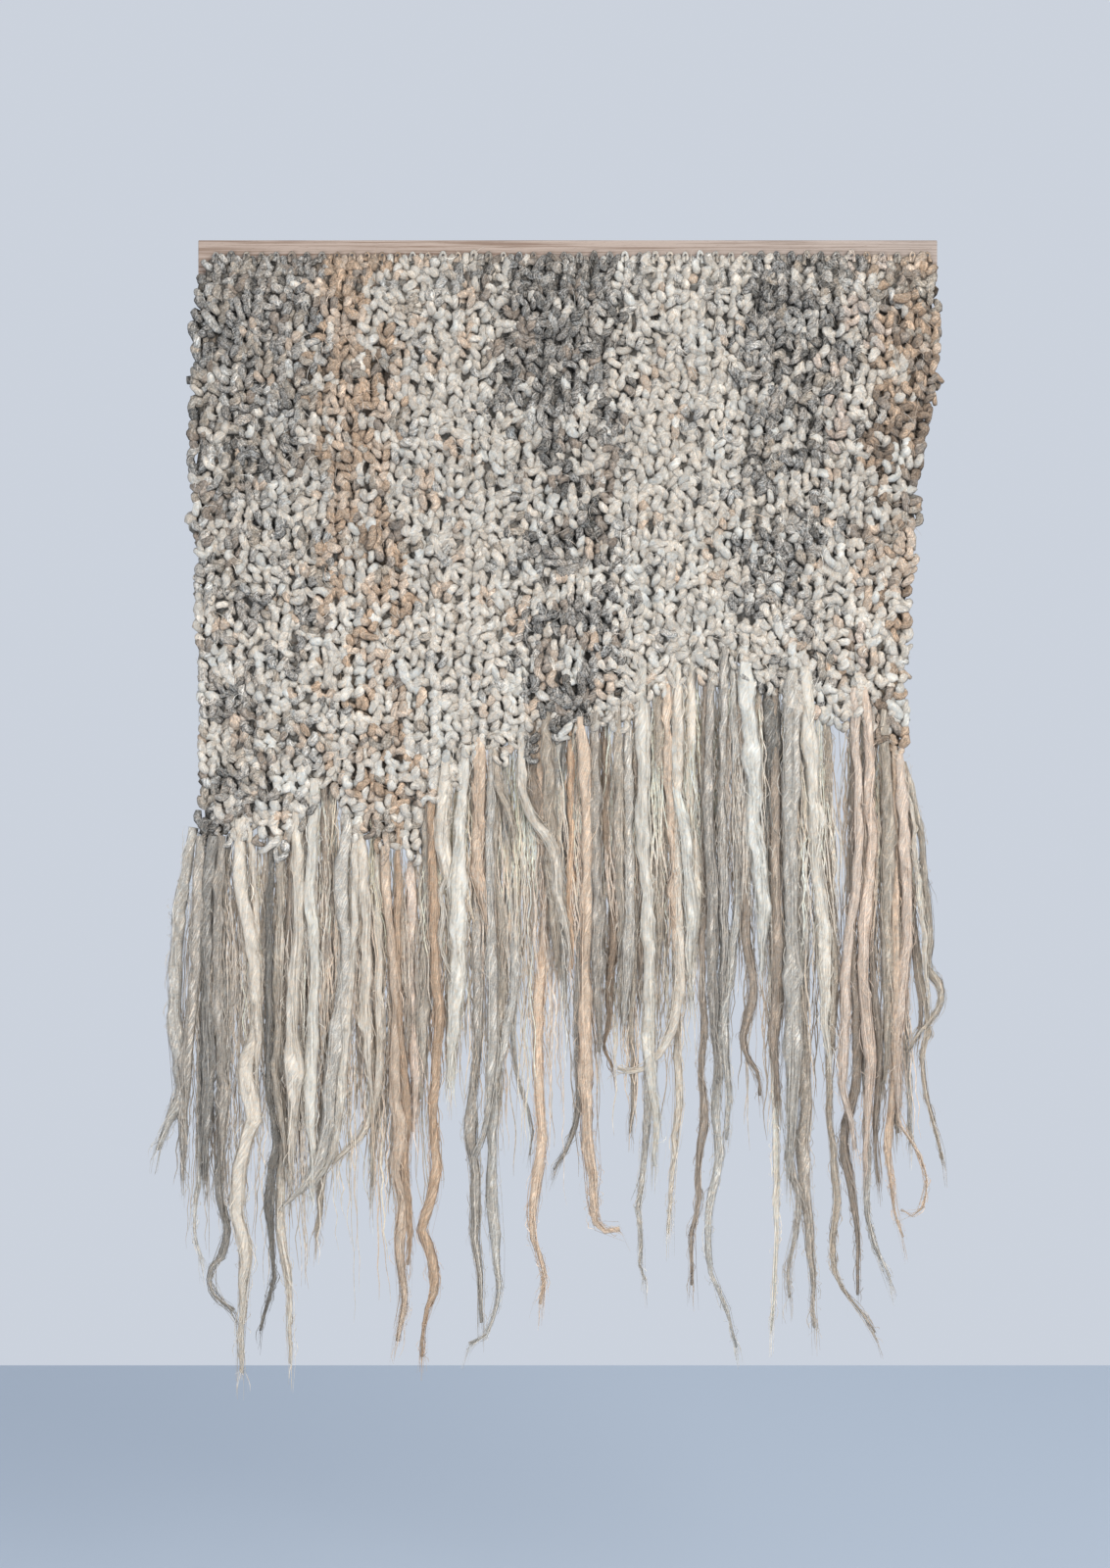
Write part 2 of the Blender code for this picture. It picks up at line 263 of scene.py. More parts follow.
# %% [markdown]
# ## The wool finish
# Wool is a bundle of fine fibres that run along the strand with a slight twist. The finish
# reads the place on the strand from a map named `strand`: turns around it and metres
# along it. Noise that is fine across and long along the strand then looks like fibres,
# both in colour and as a bump. The colour itself comes from each strand's own tint.


# %% Wool material
def wool_finish(name, fibres_around, fibre_length, twist, contrast, speckle, sheen, outline):
    bench = Bench(name)
    strand = bench.node("ShaderNodeUVMap", {"uv_map": "strand"})
    around = bench.part(strand, 0)
    along = bench.part(strand, 1)
    turn = (around + along * twist) * (2 * math.pi)
    reach = fibres_around / (2 * math.pi)
    fibre_place = bench.vector(turn.cos() * reach, turn.sin() * reach, along / fibre_length)
    fibres = bench.noise(fibre_place, 1.0, 2.0, 0.7)
    spot = bench.place()
    fuzz = bench.noise(spot, 480.0, 3.0, 0.7)
    patches = bench.noise(spot, 60.0, 1.0, 0.5)
    tint = bench.node("ShaderNodeAttribute", {"attribute_name": "tint"})
    heather = bench.node("ShaderNodeAttribute", {"attribute_name": "tint"}, output=3)
    mixed = heather * heather * 1.7 + 0.05
    flecks = (fibres - 0.5) * contrast + (fuzz - 0.5) * speckle
    splits = abs(fibres - 0.5).between(0.0, 0.06)
    value = (1.0 + flecks * mixed) * (1.0 + (splits - 0.8) * mixed * 0.5)
    value = value + (patches - 0.5) * 0.22
    # Painted shade: the sides of each strand are darkened into thin dark outlines, more for heathered wool,
    # for the shade between neighbouring stitches.
    if outline:
        front = abs((around * (2 * math.pi)).cos()).between(0.48, 0.72)
        value = value * (1.0 - (1.0 - front) * (heather * 1.1 + outline))
    value = value.math("MAXIMUM", 0.10)
    warmth = (bench.noise(spot, 230.0, 2.0, 0.6) - 0.5) * 0.30
    warmed = bench.vector(value * (1.0 + warmth), value, value * (1.0 - warmth))
    colour = bench.mix(1.0, tint, warmed, "MULTIPLY")
    height = fibres * 0.5 + splits * 0.3 + fuzz * 0.2
    bench.set(Base_Color=colour, Roughness=0.96, Normal=bench.bump(height, 0.8, 0.0018))
    bench.set(Sheen_Weight=sheen, Sheen_Roughness=0.5, Specular_IOR_Level=0.10)
    return bench.material


# outline sets how deep the painted shade on the sides of each strand is.
stitch_wool = wool_finish(
    "stitch_wool", fibres_around=13.0, fibre_length=0.010, twist=25.0,
    contrast=4.0, speckle=6.0, sheen=0.10, outline=0.06,
)
lock_wool = wool_finish(
    "lock_wool", fibres_around=18.0, fibre_length=0.030, twist=9.0,
    contrast=3.4, speckle=2.4, sheen=0.22, outline=0.0,
)
print("wool finishes ready")

# %% [markdown]
# ## The pine batten and the nails
# The batten is bare planed pine: pale, with fine darker lines of summer wood that run its
# length, stretched noise again. It has gone a little paler towards one end. The nails are
# plain dull steel, slightly brown where they have started to rust.


# %% Pine and steel
def pine_finish():
    bench = Bench("planed_pine")
    spot = bench.place()
    along = bench.part(spot, 0)
    across = bench.part(spot, 1)
    up = bench.part(spot, 2)
    drift = bench.noise(bench.vector(along * 3.0, across * 12.0, up * 12.0), 1.0, 2.0) * 0.006
    lines = bench.noise(bench.vector(along * 5.0, across * 330.0, (up + drift) * 330.0), 1.0, 3.0, 0.6)
    pores = bench.noise(bench.vector(along * 130.0, across * 2300.0, up * 2300.0), 1.0, 2.0, 0.6)
    broad = bench.noise(bench.vector(along * 4.0, across * 40.0, up * 55.0), 1.0, 2.0)
    summer = lines.between(0.44, 0.60)
    pale = bench.mix(broad, (*from_screen(192, 174, 161), 1), (*from_screen(174, 154, 141), 1))
    grain = bench.mix(summer * 0.80, pale, (*from_screen(134, 110, 94), 1))
    aged = (along + broad * 0.3).between(-0.1, 0.75) * 0.40
    faded = bench.mix(aged, grain, (*from_screen(174, 167, 162), 1))
    streaks = bench.mix(pores.between(0.56, 0.78) * 0.55, faded, (*from_screen(118, 96, 80), 1))
    relief = bench.bump(lines * 0.6 + pores * 0.4, 0.35, 0.0006)
    bench.set(Base_Color=streaks, Roughness=0.62 + lines * 0.2, Normal=relief, Specular_IOR_Level=0.25)
    return bench.material


def steel_finish():
    bench = Bench("dull_steel")
    tarnish = bench.noise(bench.place(), 900.0, 3.0, 0.6)
    worn = bench.mix(tarnish.between(0.40, 0.65), (0.16, 0.155, 0.15, 1), (0.07, 0.05, 0.04, 1))
    bench.set(Base_Color=worn, Metallic=0.85, Roughness=0.42 + tarnish * 0.3)
    bench.set(Normal=bench.bump(tarnish, 0.2, 0.0002))
    return bench.material


def dress(name, finish):
    node = nodes[name]
    for index in range(len(node.material_slots)):
        node.material_slots[index].material = finish


dress("hanging_board", pine_finish())
steel = steel_finish()
for name in pin_names:
    dress(name, steel)
print("dressed the batten and", len(pin_names), "nails")

# %% [markdown]
# ## Many tubes in one mesh
# Stitches and locks are tubes along a bent line. Thousands of separate curves would be
# slow, so one function lays every tube of a piece into one mesh with array arithmetic.
# The seam of each tube is turned towards the wall. Each tube has its own cell of a second
# map, so that its colours can be stored in a picture later.

# %% From arrays to a piece
CELL_MARGIN = 0.06
STRAND_OFFSET = 0.137
FRONTWARD = (0.0, -1.0, 0.003)
TINY = 1e-12


def eased(share):
    """A soft step: it leaves 0 and reaches 1 without a corner."""
    return share * share * (3 - 2 * share)


def index_grid(*sizes):
    """Every combination of some indices, as one flat array for each."""
    return (a.ravel() for a in np.meshgrid(*(range(size) for size in sizes), indexing="ij"))


def cell_map(owner, spot, count):
    """Places on the second map: each owner has one cell of a grid."""
    columns = int(math.ceil(math.sqrt(count)))
    stacks = int(math.ceil(count / columns))
    inner = CELL_MARGIN + (1 - 2 * CELL_MARGIN) * spot
    cell = np.stack([owner % columns, owner // columns], 1)
    return (cell + inner) / np.array([columns, stacks])


def build_piece(name, points, faces, maps, point_tints, finish):
    mesh = bpy.data.meshes.new(name)
    mesh.from_pydata(points, [], faces)
    for map_name, places in maps.items():
        mesh.uv_layers.new(name=map_name).uv.foreach_set("vector", places.astype(np.float32).ravel())
    tint_layer = mesh.attributes.new("tint", "FLOAT_COLOR", "POINT")
    tint_layer.data.foreach_set("color", point_tints.astype(np.float32).ravel())
    mesh.materials.append(finish)
    mesh.shade_smooth()
    piece = bpy.data.objects.new(name, mesh)
    scene.collection.objects.link(piece)
    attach(piece, BODY)
    print(f"{name}: {sum(len(face) - 2 for face in faces)} triangles")
    return piece


def of_length_one(arrows):
    return arrows / (np.linalg.norm(arrows, axis=2, keepdims=True) + TINY)


def ring_frames(spines):
    """Across and outward directions for each ring, square to the line of the tube."""
    ahead = of_length_one(np.gradient(spines, axis=1))
    across = of_length_one(np.cross(ahead, FRONTWARD))
    return across, np.cross(across, ahead)


def distances(spines):
    steps = np.linalg.norm(np.diff(spines, axis=1), axis=2)
    return np.concatenate([np.zeros((len(spines), 1)), np.cumsum(steps, axis=1)], axis=1)


def corner_spots(pairs):
    """Places on the maps for every corner of every face, in the order of the faces."""
    return np.stack([np.stack(pair, 1) for pair in pairs], 1).reshape(-1, 2)


def strand_maps(lines, spot, owner, turn=1.0):
    """Both maps: turns round and metres along each strand, and its cell for a picture."""
    last = lines.shape[1] - 1
    row = np.clip(np.rint(spot[:, 1] * last).astype(int), 0, last)
    along = distances(lines)[owner, row] + owner * STRAND_OFFSET
    return {"strand": np.stack([spot[:, 0] * turn, along], 1), "OFBake": cell_map(owner, spot, len(lines))}


# %% Tubes
PLY_DEPTH = 0.09
LUMP = 0.055
CAP_SHARE = 0.04
FRONT_OFFSET = 0.55
FRONT_SPAN = 0.85


def tube_faces(count, rings, sides):
    """Quads round every tube and a fan over both ends, with their places on the maps."""
    tube, ring, side = index_grid(count, rings - 1, sides)
    corners = [(ring, side), (ring + 1, side), (ring + 1, side + 1), (ring, side + 1)]
    base = tube * (rings * sides + 2)
    faces = [np.stack([base + r * sides + s % sides for r, s in corners], 1)]
    spots = [corner_spots((s / sides, r / (rings - 1)) for r, s in corners)]
    owners = [np.repeat(tube, 4)]
    tube, side = index_grid(count, sides)
    base = tube * (rings * sides + 2)
    for ring, pole, order in ((0, rings * sides, (0, 1)), (rings - 1, rings * sides + 1, (1, 0))):
        edge = [base + ring * sides + (side + step) % sides for step in order]
        faces.append(np.stack([base + pole, *edge], 1))
        height = np.full(len(side), ring / (rings - 1))
        inward = height + (CAP_SHARE if ring == 0 else -CAP_SHARE)
        rim_places = [((side + step) / sides, inward) for step in order]
        spots.append(corner_spots([((side + 0.5) / sides, height), *rim_places]))
        owners.append(np.repeat(tube, 3))
    return faces, np.concatenate(spots), np.concatenate(owners)


def make_tubes(name, spines, half_widths, half_depths, tints, sides, finish,
               shade=1.0, facing=1, pitch=0.03, ply_shade=0.13):
    """One mesh of closed tubes. spines is tubes x rings x 3. The fourth part of a tint is heather.

    shade is how dark the sides get, where neighbours keep the light away. The yarn has two
    plies, so each ring is a little oval, and the oval turns once in every pitch.
    """
    count, rings, _ = spines.shape
    across, outward = ring_frames(spines)
    angle = -math.pi / 2 + 2 * math.pi * np.arange(sides) / sides
    turned = 2 * math.pi * distances(spines) / pitch + draw.uniform(0, 2 * math.pi, (count, 1))
    ply = np.cos(2 * angle[None, None, :] - turned[:, :, None])
    lumps = 1 + PLY_DEPTH * ply + draw.normal(0, LUMP, ply.shape)
    wide = (half_widths[:, :, None] * np.cos(angle) * lumps)[:, :, :, None]
    deep = (half_depths[:, :, None] * np.sin(angle) * lumps)[:, :, :, None]
    rim = spines[:, :, None, :] + wide * across[:, :, None, :] + deep * outward[:, :, None, :]
    points = np.concatenate([rim.reshape(count, rings * sides, 3), spines[:, [0, -1], :]], axis=1)
    fronts = np.clip((np.sin(angle) * facing + FRONT_OFFSET) / FRONT_SPAN, 0, 1)
    fronts = shade + (1 - shade) * eased(fronts)
    rim_tints = np.repeat(tints[:, :, None, :], sides, axis=2)
    rim_tints[:, :, :, :3] *= (fronts[None, None, :] * (1 + ply_shade * ply))[:, :, :, None]
    all_tints = np.concatenate([rim_tints.reshape(count, rings * sides, 4), tints[:, [0, -1], :]], axis=1)
    faces, spot, owner = tube_faces(count, rings, sides)
    maps = strand_maps(spines, spot, owner)
    flat = [face for group in faces for face in group.tolist()]
    return build_piece(name, points.reshape(-1, 3), flat, maps, all_tints.reshape(-1, 4), finish)


# %% Ribbons
RIBBON_TURN = 0.04


def make_ribbons(name, strands):
    """One mesh of flat strands, for fibres too fine to need a round section.

    A strand is its line, its sideways direction, its half widths and its tints.
    """
    lines, sideways, half_widths, tints = (np.array(values) for values in zip(*strands))
    count, rings, _ = lines.shape
    offset = half_widths[:, :, None] * sideways
    points = np.stack([lines - offset, lines + offset], axis=2).reshape(-1, 3)
    strand, ring = index_grid(count, rings - 1)
    base = strand * rings * 2
    corners = [(ring, 0), (ring + 1, 0), (ring + 1, 1), (ring, 1)]
    faces = np.stack([base + r * 2 + s for r, s in corners], 1)
    spot = corner_spots((np.full(len(ring), s, float), r / (rings - 1)) for r, s in corners)
    maps = strand_maps(lines, spot, np.repeat(strand, 4), RIBBON_TURN)
    both_edges = np.repeat(tints.reshape(-1, 4), 2, axis=0)
    return build_piece(name, points, faces.tolist(), maps, both_edges, lock_wool)


# %% [markdown]
# ## The body's outline
# The solid panel in the frame already has the true outline and thickness. Rays shot at it
# give the side edges, the lower edge and the depth of its face, so no size is written
# twice. The columns of loops share the width evenly at every height.

# %% Outline from the frame
bpy.context.view_layer.update()
panel = nodes["knotted_panel"]
COLUMNS = len(pin_names)
PROBE = 2.0
INSIDE_Y = -0.024
OUTLINE_STEPS = 150


def ray(start, aim, axis, missed=math.nan):
    hit, place, _, _ = panel.ray_cast(Vector(start), Vector(aim))
    return place[axis] if hit else missed


heights = np.linspace(panel_low.z + 0.002, panel_high.z - 0.003, OUTLINE_STEPS)
left_edge = np.array([ray((-PROBE, INSIDE_Y, z), (1, 0, 0), 0) for z in heights])
right_edge = np.array([ray((PROBE, INSIDE_Y, z), (-1, 0, 0), 0) for z in heights])
places_x = np.linspace(panel_low.x + 0.012, panel_high.x - 0.012, 3 * OUTLINE_STEPS)
low_edge = np.array([ray((x, INSIDE_Y, -PROBE), (0, 0, 1), 2) for x in places_x])
met = ~np.isnan(low_edge)
FULL_WIDTH_Z = -0.60
full = heights > FULL_WIDTH_Z


def column_middle(column, z):
    """The x of a column's middle at a height."""
    left = np.interp(z, heights[full], left_edge[full])
    right = np.interp(z, heights[full], right_edge[full])
    return left + (right - left) * (column + 0.5) / COLUMNS


def lower_edge(x):
    return float(np.interp(x, places_x[met], low_edge[met]))


def face_depth(x, z, side=-1):
    """The y of the panel's face (side -1) or back (side 1) at a place."""
    return ray((x, side * PROBE, z), (0, -side, 0), 1, -0.034 if side < 0 else -0.012)


# %% [markdown]
# ## Where each wool lies
# The maker set the columns in upright bands and let other wools stray into them. The
# table gives each band's right-hand edge at the top and low down, how far it has paled on
# the way down, and how many parts of each wool it holds.

# %% Colour bands
BANDS = [
    # top_x, low_x, paling halfway, low and at the foot, parts of each wool
    (-0.308, -0.362, (0.45, 0.95, 0.10),
     {"taupe": 3.4, "ash": 2.6, "silver": 2.2, "grey": 3, "tan": 1.4, "slate": 0.5}),
    (-0.307, -0.288, (0.40, 0.90, 1.60),
     {"cream": 4, "silver": 2, "taupe": 2, "grey": 1.4}),
    (-0.231, -0.188, (0.27, 0.78, 0.90),
     {"peach": 4.0, "amber": 5.6, "taupe": 0.8, "tan": 1.2, "brown": 0.2}),
    (-0.094, -0.030, (0.37, 0.45, 1.60),
     {"cream": 6.5, "white": 0.4, "silver": 1.4, "peach": 0.8, "taupe": 1.2}),
    (0.062, 0.060, (0.86, 0.52, 0.60),
     {"slate": 3.2, "grey": 4.4, "ash": 1.6, "silver": 0.8, "tan": 1.6, "cream": 0.3}),
    (0.215, 0.195, (0.50, 4.60, 4.60),
     {"cream": 8, "white": 0.6, "silver": 1.6, "peach": 0.4}),
    (0.343, 0.322, (0.70, 1.50, 1.60),
     {"grey": 4.4, "slate": 1.4, "ash": 2, "silver": 1.8, "taupe": 1.6, "cream": 0.6}),
    (0.374, 0.350, (0.25, 0.80, 1.00),
     {"cream": 5, "silver": 1, "rose": 1.5}),
    (0.460, 0.430, (0.42, 1.15, 1.20),
     {"taupe": 1.8, "tan": 2.2, "brown": 2.2, "amber": 3.0, "peach": 1.6}),
]
LOW_Z = -0.60
BAND_BLUR = 0.017
PALING_FALLS = (0.13, 0.47, 0.76, 1.05)
LOW_PEACH = 0.11
LOWEST_FALL = 1.3
PALER_WITH = {"cream": 0.72, "white": 0.28}


def band_parts(x, z):
    fall = min(max(z / LOW_Z, 0.0), LOWEST_FALL)
    stray = x + draw.normal(0, BAND_BLUR)
    for top_x, low_x, paling, parts in BANDS:
        if stray < top_x + (low_x - top_x) * fall:
            break
    parts = dict(parts)
    total = sum(parts.values())
    paler = total * np.interp(fall, PALING_FALLS, (0, *paling))
    for wool, share in PALER_WITH.items():
        parts[wool] = parts.get(wool, 0) + paler * share
    parts["peach"] = parts.get("peach", 0) + total * LOW_PEACH * fall
    return parts


def pick_from(parts):
    names = sorted(parts)
    shares = np.array([parts[name] for name in names])
    return names[draw.choice(len(names), p=shares / shares.sum())]


def pick_wool(x, z):
    return pick_from(band_parts(x, z))


# %% [markdown]
# ## The ground of the fabric
# Behind the stitches lies the ground that they are looped through. It is one thin, closed
# sheet just behind the middle of the panel's depth, waved by the columns and rows. It is
# darker, because little light gets down to it.

# %% Ground sheet
GROUND_ROWS = 60
GROUND_TOP = 0.0
GROUND_FRONT = 0.46
GROUND_BACK = 0.78
GROUND_SHADE = 0.46
GROUND_INSET = 0.25
GROUND_WAVE = 0.0007


def ground_points():
    front, back, tints = [], [], []
    for row in range(GROUND_ROWS + 1):
        for line in range(COLUMNS + 1):
            low = lower_edge(column_middle(line - 0.5, LOW_Z)) + 0.004
            z = GROUND_TOP + (low - GROUND_TOP) * row / GROUND_ROWS
            inset = GROUND_INSET * ((line == 0) - (line == COLUMNS))
            x = column_middle(line - 0.5 + inset, z)
            near, far = face_depth(x, z, -1), face_depth(x, z, 1)
            wave = GROUND_WAVE * math.sin(line * 2.4 + row * 1.7)
            front.append((x, near + (far - near) * GROUND_FRONT + wave, z))
            back.append((x, near + (far - near) * GROUND_BACK + wave, z))
            tints.append(lit(TINTS[pick_wool(x, z)], GROUND_SHADE))
    return front, back, tints


def ground_faces():
    lines = COLUMNS + 1
    layer = lines * (GROUND_ROWS + 1)
    faces = []
    for row in range(GROUND_ROWS):
        for line in range(COLUMNS):
            a = row * lines + line
            ring = [a, a + lines, a + lines + 1, a + 1]
            faces.append(tuple(ring))
            faces.append(tuple(layer + corner for corner in reversed(ring)))
    edge = list(range(lines))
    edge += [row * lines + COLUMNS for row in range(1, GROUND_ROWS + 1)]
    edge += [GROUND_ROWS * lines + line for line in range(COLUMNS - 1, -1, -1)]
    edge += [row * lines for row in range(GROUND_ROWS - 1, 0, -1)]
    for here, after in zip(edge, edge[1:] + edge[:1]):
        faces.append((here, after, layer + after, layer + here))
    return faces


front, back, tints = ground_points()
points = np.array(front + back)
faces = ground_faces()
corner_points = points[np.concatenate(faces)]
sheet_map = (corner_points[:, [0, 2]] - points[:, [0, 2]].min(0)) / np.ptp(points[:, [0, 2]], axis=0)
side_share = np.concatenate([np.full(4, 0.0 if min(face) < len(front) else 0.5) for face in faces])
maps = {
    "strand": corner_points[:, [0, 2]] * (30.0, 1.0),
    "OFBake": np.stack([sheet_map[:, 0] / 2 + side_share, sheet_map[:, 1]], 1),
}
ground = build_piece("ground_cloth", points, faces, maps, np.array(tints + tints), stitch_wool)

# %% [markdown]
# ## The stitches
# Each column is a chain of loops. Seen from the front, a loop shows two plump legs that
# lean towards each other, and the slubby yarn makes some fat and some thin. A stitch is
# a short tube whose ends dive into the fabric, so only its plump middle shows. Some are
# round nubs, long floats or strands that strayed sideways. Smaller, deeper ones fill in
# between the columns, which breaks the rows up.

# %% Lay out the stitches
ROW_STEP = (0.0092, 0.0130)
LEG_OFFSET = 0.0044
TOP_ROW = -0.0062
FILL_SHARE = 0.14
TAIL = 0.013
LOW_LIGHT_GAIN = 0.10
NEW_WOOL = 0.50
FOOT_NARROW = 0.60
FOOT_SPREAD = 14
NUBS_BELOW, STRAYS_BELOW, FLOATS_BELOW = 0.26, 0.36, 0.39


def painted_low_light(z):
    """Painted light: how much lighter the stitches are made low down than at the top, for the extra light
    that falls on the lower body.
    """
    return 1 + LOW_LIGHT_GAIN * min(max((z / LOW_Z - 0.5) / 0.25, 0), 1)


def stitch(x, z, lean, length, width, lift, wool, bend=0.0, side=-1, shade=1.0, sunk=0.42):
    """One stitch: where its middle is, and its form. sunk is how deep it lies, in widths."""
    depth = face_depth(x, z, side) - side * (width * sunk - lift)
    # Painted light: stitches low on the body are made lighter, for the extra light that falls there.
    tint = lit(varied(wool), shade * painted_low_light(z))
    return {"x": x, "y": depth, "z": z, "lean": lean, "length": length, "width": width,
            "bend": bend, "tint": tint, "side": side}


def leg(x, z, hand, narrow, wool):
    """One of a loop's two legs, or now and then something less regular in its place."""
    width = draw.uniform(0.0096, 0.0132) * narrow
    length = draw.uniform(0.0136, 0.0192)
    lean = hand * math.radians(draw.normal(24, 18))
    bend = hand * abs(draw.normal(0.0010, 0.0030))
    kind = draw.random()
    if kind < NUBS_BELOW:
        length = draw.uniform(0.0112, 0.0140)
        width = draw.uniform(0.0106, 0.0138) * narrow
    elif kind < STRAYS_BELOW:
        lean = math.radians(draw.uniform(50, 130))
        length = draw.uniform(0.014, 0.022)
        bend = draw.normal(0, 0.0040)
    elif kind < FLOATS_BELOW:
        length = draw.uniform(0.026, 0.036)
        width = draw.uniform(0.0105, 0.0145) * narrow
    return stitch(x, z, lean, length, width, draw.normal(0.0, 0.0019), wool, bend)


def column_stitches(column):
    """All the front stitches of one column, from the nails down."""
    made = []
    if column < COLUMNS - 1:
        between = (pin_places[column].x + pin_places[column + 1].x) / 2
        wool = pick_wool(between, 0.0)
        width = draw.uniform(0.0080, 0.0108)
        z = draw.uniform(-0.0030, 0.0010)
        made.append(stitch(between, z, draw.normal(0, 0.4), 0.015, width, 0.0, wool))
    bottom = lower_edge(column_middle(column, LOW_Z)) - abs(draw.normal(0, TAIL))
    z = TOP_ROW - draw.uniform(0, 0.003)
    phase = draw.uniform(0, 6.28)
    stagger = draw.uniform(0, 0.6)
    wool = pick_wool(column_middle(column, z), z)
    while z > bottom + 0.004:
        wander = 0.0014 * math.sin(z * 38 + phase) + 0.0009 * math.sin(z * 91 + 2 * phase)
        centre = column_middle(column, z) + wander
        narrow = min(1.0, FOOT_NARROW + (z - bottom) * FOOT_SPREAD)
        for hand in (-1, 1):
            if draw.random() < NEW_WOOL:
                wool = pick_wool(centre, z)
            x = centre + hand * LEG_OFFSET * narrow + draw.normal(0, 0.0009)
            late = stagger * ROW_STEP[0] if hand > 0 else 0
            made.append(leg(x, z - late + draw.normal(0, 0.0024), hand, narrow, wool))
        if draw.random() < FILL_SHARE and narrow == 1.0:
            x = column_middle(column + 0.5, z) + draw.normal(0, 0.001)
            lean = math.radians(draw.normal(0, 25))
            width = draw.uniform(0.0065, 0.0095)
            length = draw.uniform(0.015, 0.026)
            made.append(stitch(x, z, lean, length, width, -0.0035, pick_wool(x, z), shade=0.85))
        z -= draw.uniform(*ROW_STEP)
    return made


stitch_columns = [column_stitches(column) for column in range(COLUMNS)]
print("front stitches", sum(len(c) for c in stitch_columns))

# %% Shape the stitches
STITCH_RINGS = 7
STITCH_SIDES = 6
END_SHARE = 0.36
STITCH_PITCH = 0.020
DIVE = 0.46
STITCH_SHADE = 0.48
END_SHADE = 0.30
BOARD_CLEAR = 0.0004


def stitch_spines(stitches, rings):
    t = np.linspace(-1, 1, rings)[None, :]
    get = {key: np.array([s[key] for s in stitches])[:, None] for key in stitches[0] if key != "tint"}
    along_x, along_z = np.sin(get["lean"]), np.cos(get["lean"])
    half = get["length"] / 2
    bow = get["bend"] * (1 - t**2)
    x = get["x"] + along_x * half * t + along_z * bow
    y = get["y"] - get["side"] * get["width"] * DIVE * np.abs(t) ** 2.6
    z = get["z"] + along_z * half * t - along_x * bow
    rest = board_low.y - BOARD_CLEAR - get["width"] / 2
    y = np.where(z > board_low.z, np.minimum(y, rest), y)
    return np.stack([x, y, z], axis=2)


def slub(count, rings, amount, lumps=4):
    """Smooth thick and thin places along each strand."""
    sizes = draw.normal(0, amount, (count, lumps + 1))
    spots = np.linspace(0, lumps, rings)
    low = np.clip(spots.astype(int), 0, lumps - 1)
    share = eased(spots - low)
    return np.exp(sizes[:, low] * (1 - share) + sizes[:, low + 1] * share)


def make_stitches(name, stitches, rings=STITCH_RINGS, sides=STITCH_SIDES, flat=0.88, side=-1):
    t = np.linspace(-1, 1, rings)[None, :]
    widths = np.array([s["width"] for s in stitches])[:, None]
    half = widths / 2 * (1 - END_SHARE * np.abs(t) ** 2.8) * slub(len(stitches), rings, 0.10)
    tints = np.repeat(np.array([s["tint"] for s in stitches])[:, None, :], rings, axis=1)
    tints[:, :, :3] *= (1 - END_SHADE * np.abs(t) ** 5)[:, :, None]
    spines = stitch_spines(stitches, rings)
    return make_tubes(
        name, spines, half, half * flat, tints, sides, stitch_wool,
        shade=STITCH_SHADE, facing=-side, pitch=STITCH_PITCH,
    )


STRIPS = 4
per_strip = COLUMNS // STRIPS
body_pieces = []
for index in range(STRIPS):
    chosen = stitch_columns[index * per_strip:(index + 1) * per_strip]
    body_pieces.append(make_stitches(f"stitches_{index + 1}", [s for column in chosen for s in column]))

# %% [markdown]
# ## The loops on the nails
# Every column starts with a loop that goes up, over its nail and down again. The loop is
# an upside-down U whose legs run in under the first stitches.

# %% Heading loops
LOOP_RINGS = 13
LOOP_LEG = 0.012
LOOP_TOP_GIRTH = 0.62
LOOP_SIDES = 6
LOOP_SHADE = 0.6
LOOP_SPREAD = 0.62
PIN_CLEAR = 0.0010
FACE_CLEAR = 0.0004
turns = np.linspace(0, math.pi, LOOP_RINGS)
loop_spines, loop_tints, loop_radii = [], [], []
for column, pin in enumerate(pin_places):
    radius = draw.uniform(0.0028, 0.0042)
    reach = radius * LOOP_SPREAD + PIN_CLEAR
    arch = pin.z + radius * LOOP_TOP_GIRTH + PIN_CLEAR + abs(draw.normal(0, 0.0008))
    legs = np.clip(np.abs(np.cos(turns)), 0, 1) ** 2.5 * LOOP_LEG
    depth = face_depth(pin.x + 0.004, pin.z - 0.004) + radius + FACE_CLEAR
    slant = draw.normal(0, 0.0016) * np.cos(turns)
    spine = np.stack([pin.x - reach * np.cos(turns), np.full(LOOP_RINGS, depth), arch - legs + slant], 1)
    loop_spines.append(spine)
    loop_radii.append(radius * (1 - (1 - LOOP_TOP_GIRTH) * np.sin(turns) ** 2))
    loop_tints.append(np.tile(stitch_columns[column][1]["tint"], (LOOP_RINGS, 1)))
radii = np.array(loop_radii) * slub(COLUMNS, LOOP_RINGS, 0.09)
heading = make_tubes(
    "heading_loops", np.array(loop_spines), radii, radii, np.array(loop_tints), LOOP_SIDES,
    stitch_wool, shade=LOOP_SHADE,
)
body_pieces.append(heading)

# %% [markdown]
# ## The back of the body
# The back faces the wall and is finished plainly. Its stitches are of the same wools, but
# flatter, larger and more regular than those in front.

# %% Back stitches
BACK_ROW = 0.0235
BACK_TOP = -0.046
BACK_FLAT = 0.55
back_stitches = []
for column in range(COLUMNS):
    bottom = lower_edge(column_middle(column, LOW_Z))
    z = BACK_TOP
    while z > bottom + 0.010:
        x = column_middle(column + draw.normal(0, 0.06), z)
        lean = math.radians(draw.normal(0, 30))
        wool = pick_wool(x, z)
        length, width = draw.uniform(0.024, 0.034), draw.uniform(0.0135, 0.0180)
        back_stitches.append(stitch(x, z, lean, length, width, 0.0, wool, side=1, shade=0.9, sunk=0.26))
        z -= BACK_ROW * draw.uniform(0.85, 1.15)
body_pieces.append(make_stitches("back_stitches", back_stitches, rings=6, sides=5, flat=BACK_FLAT, side=1))
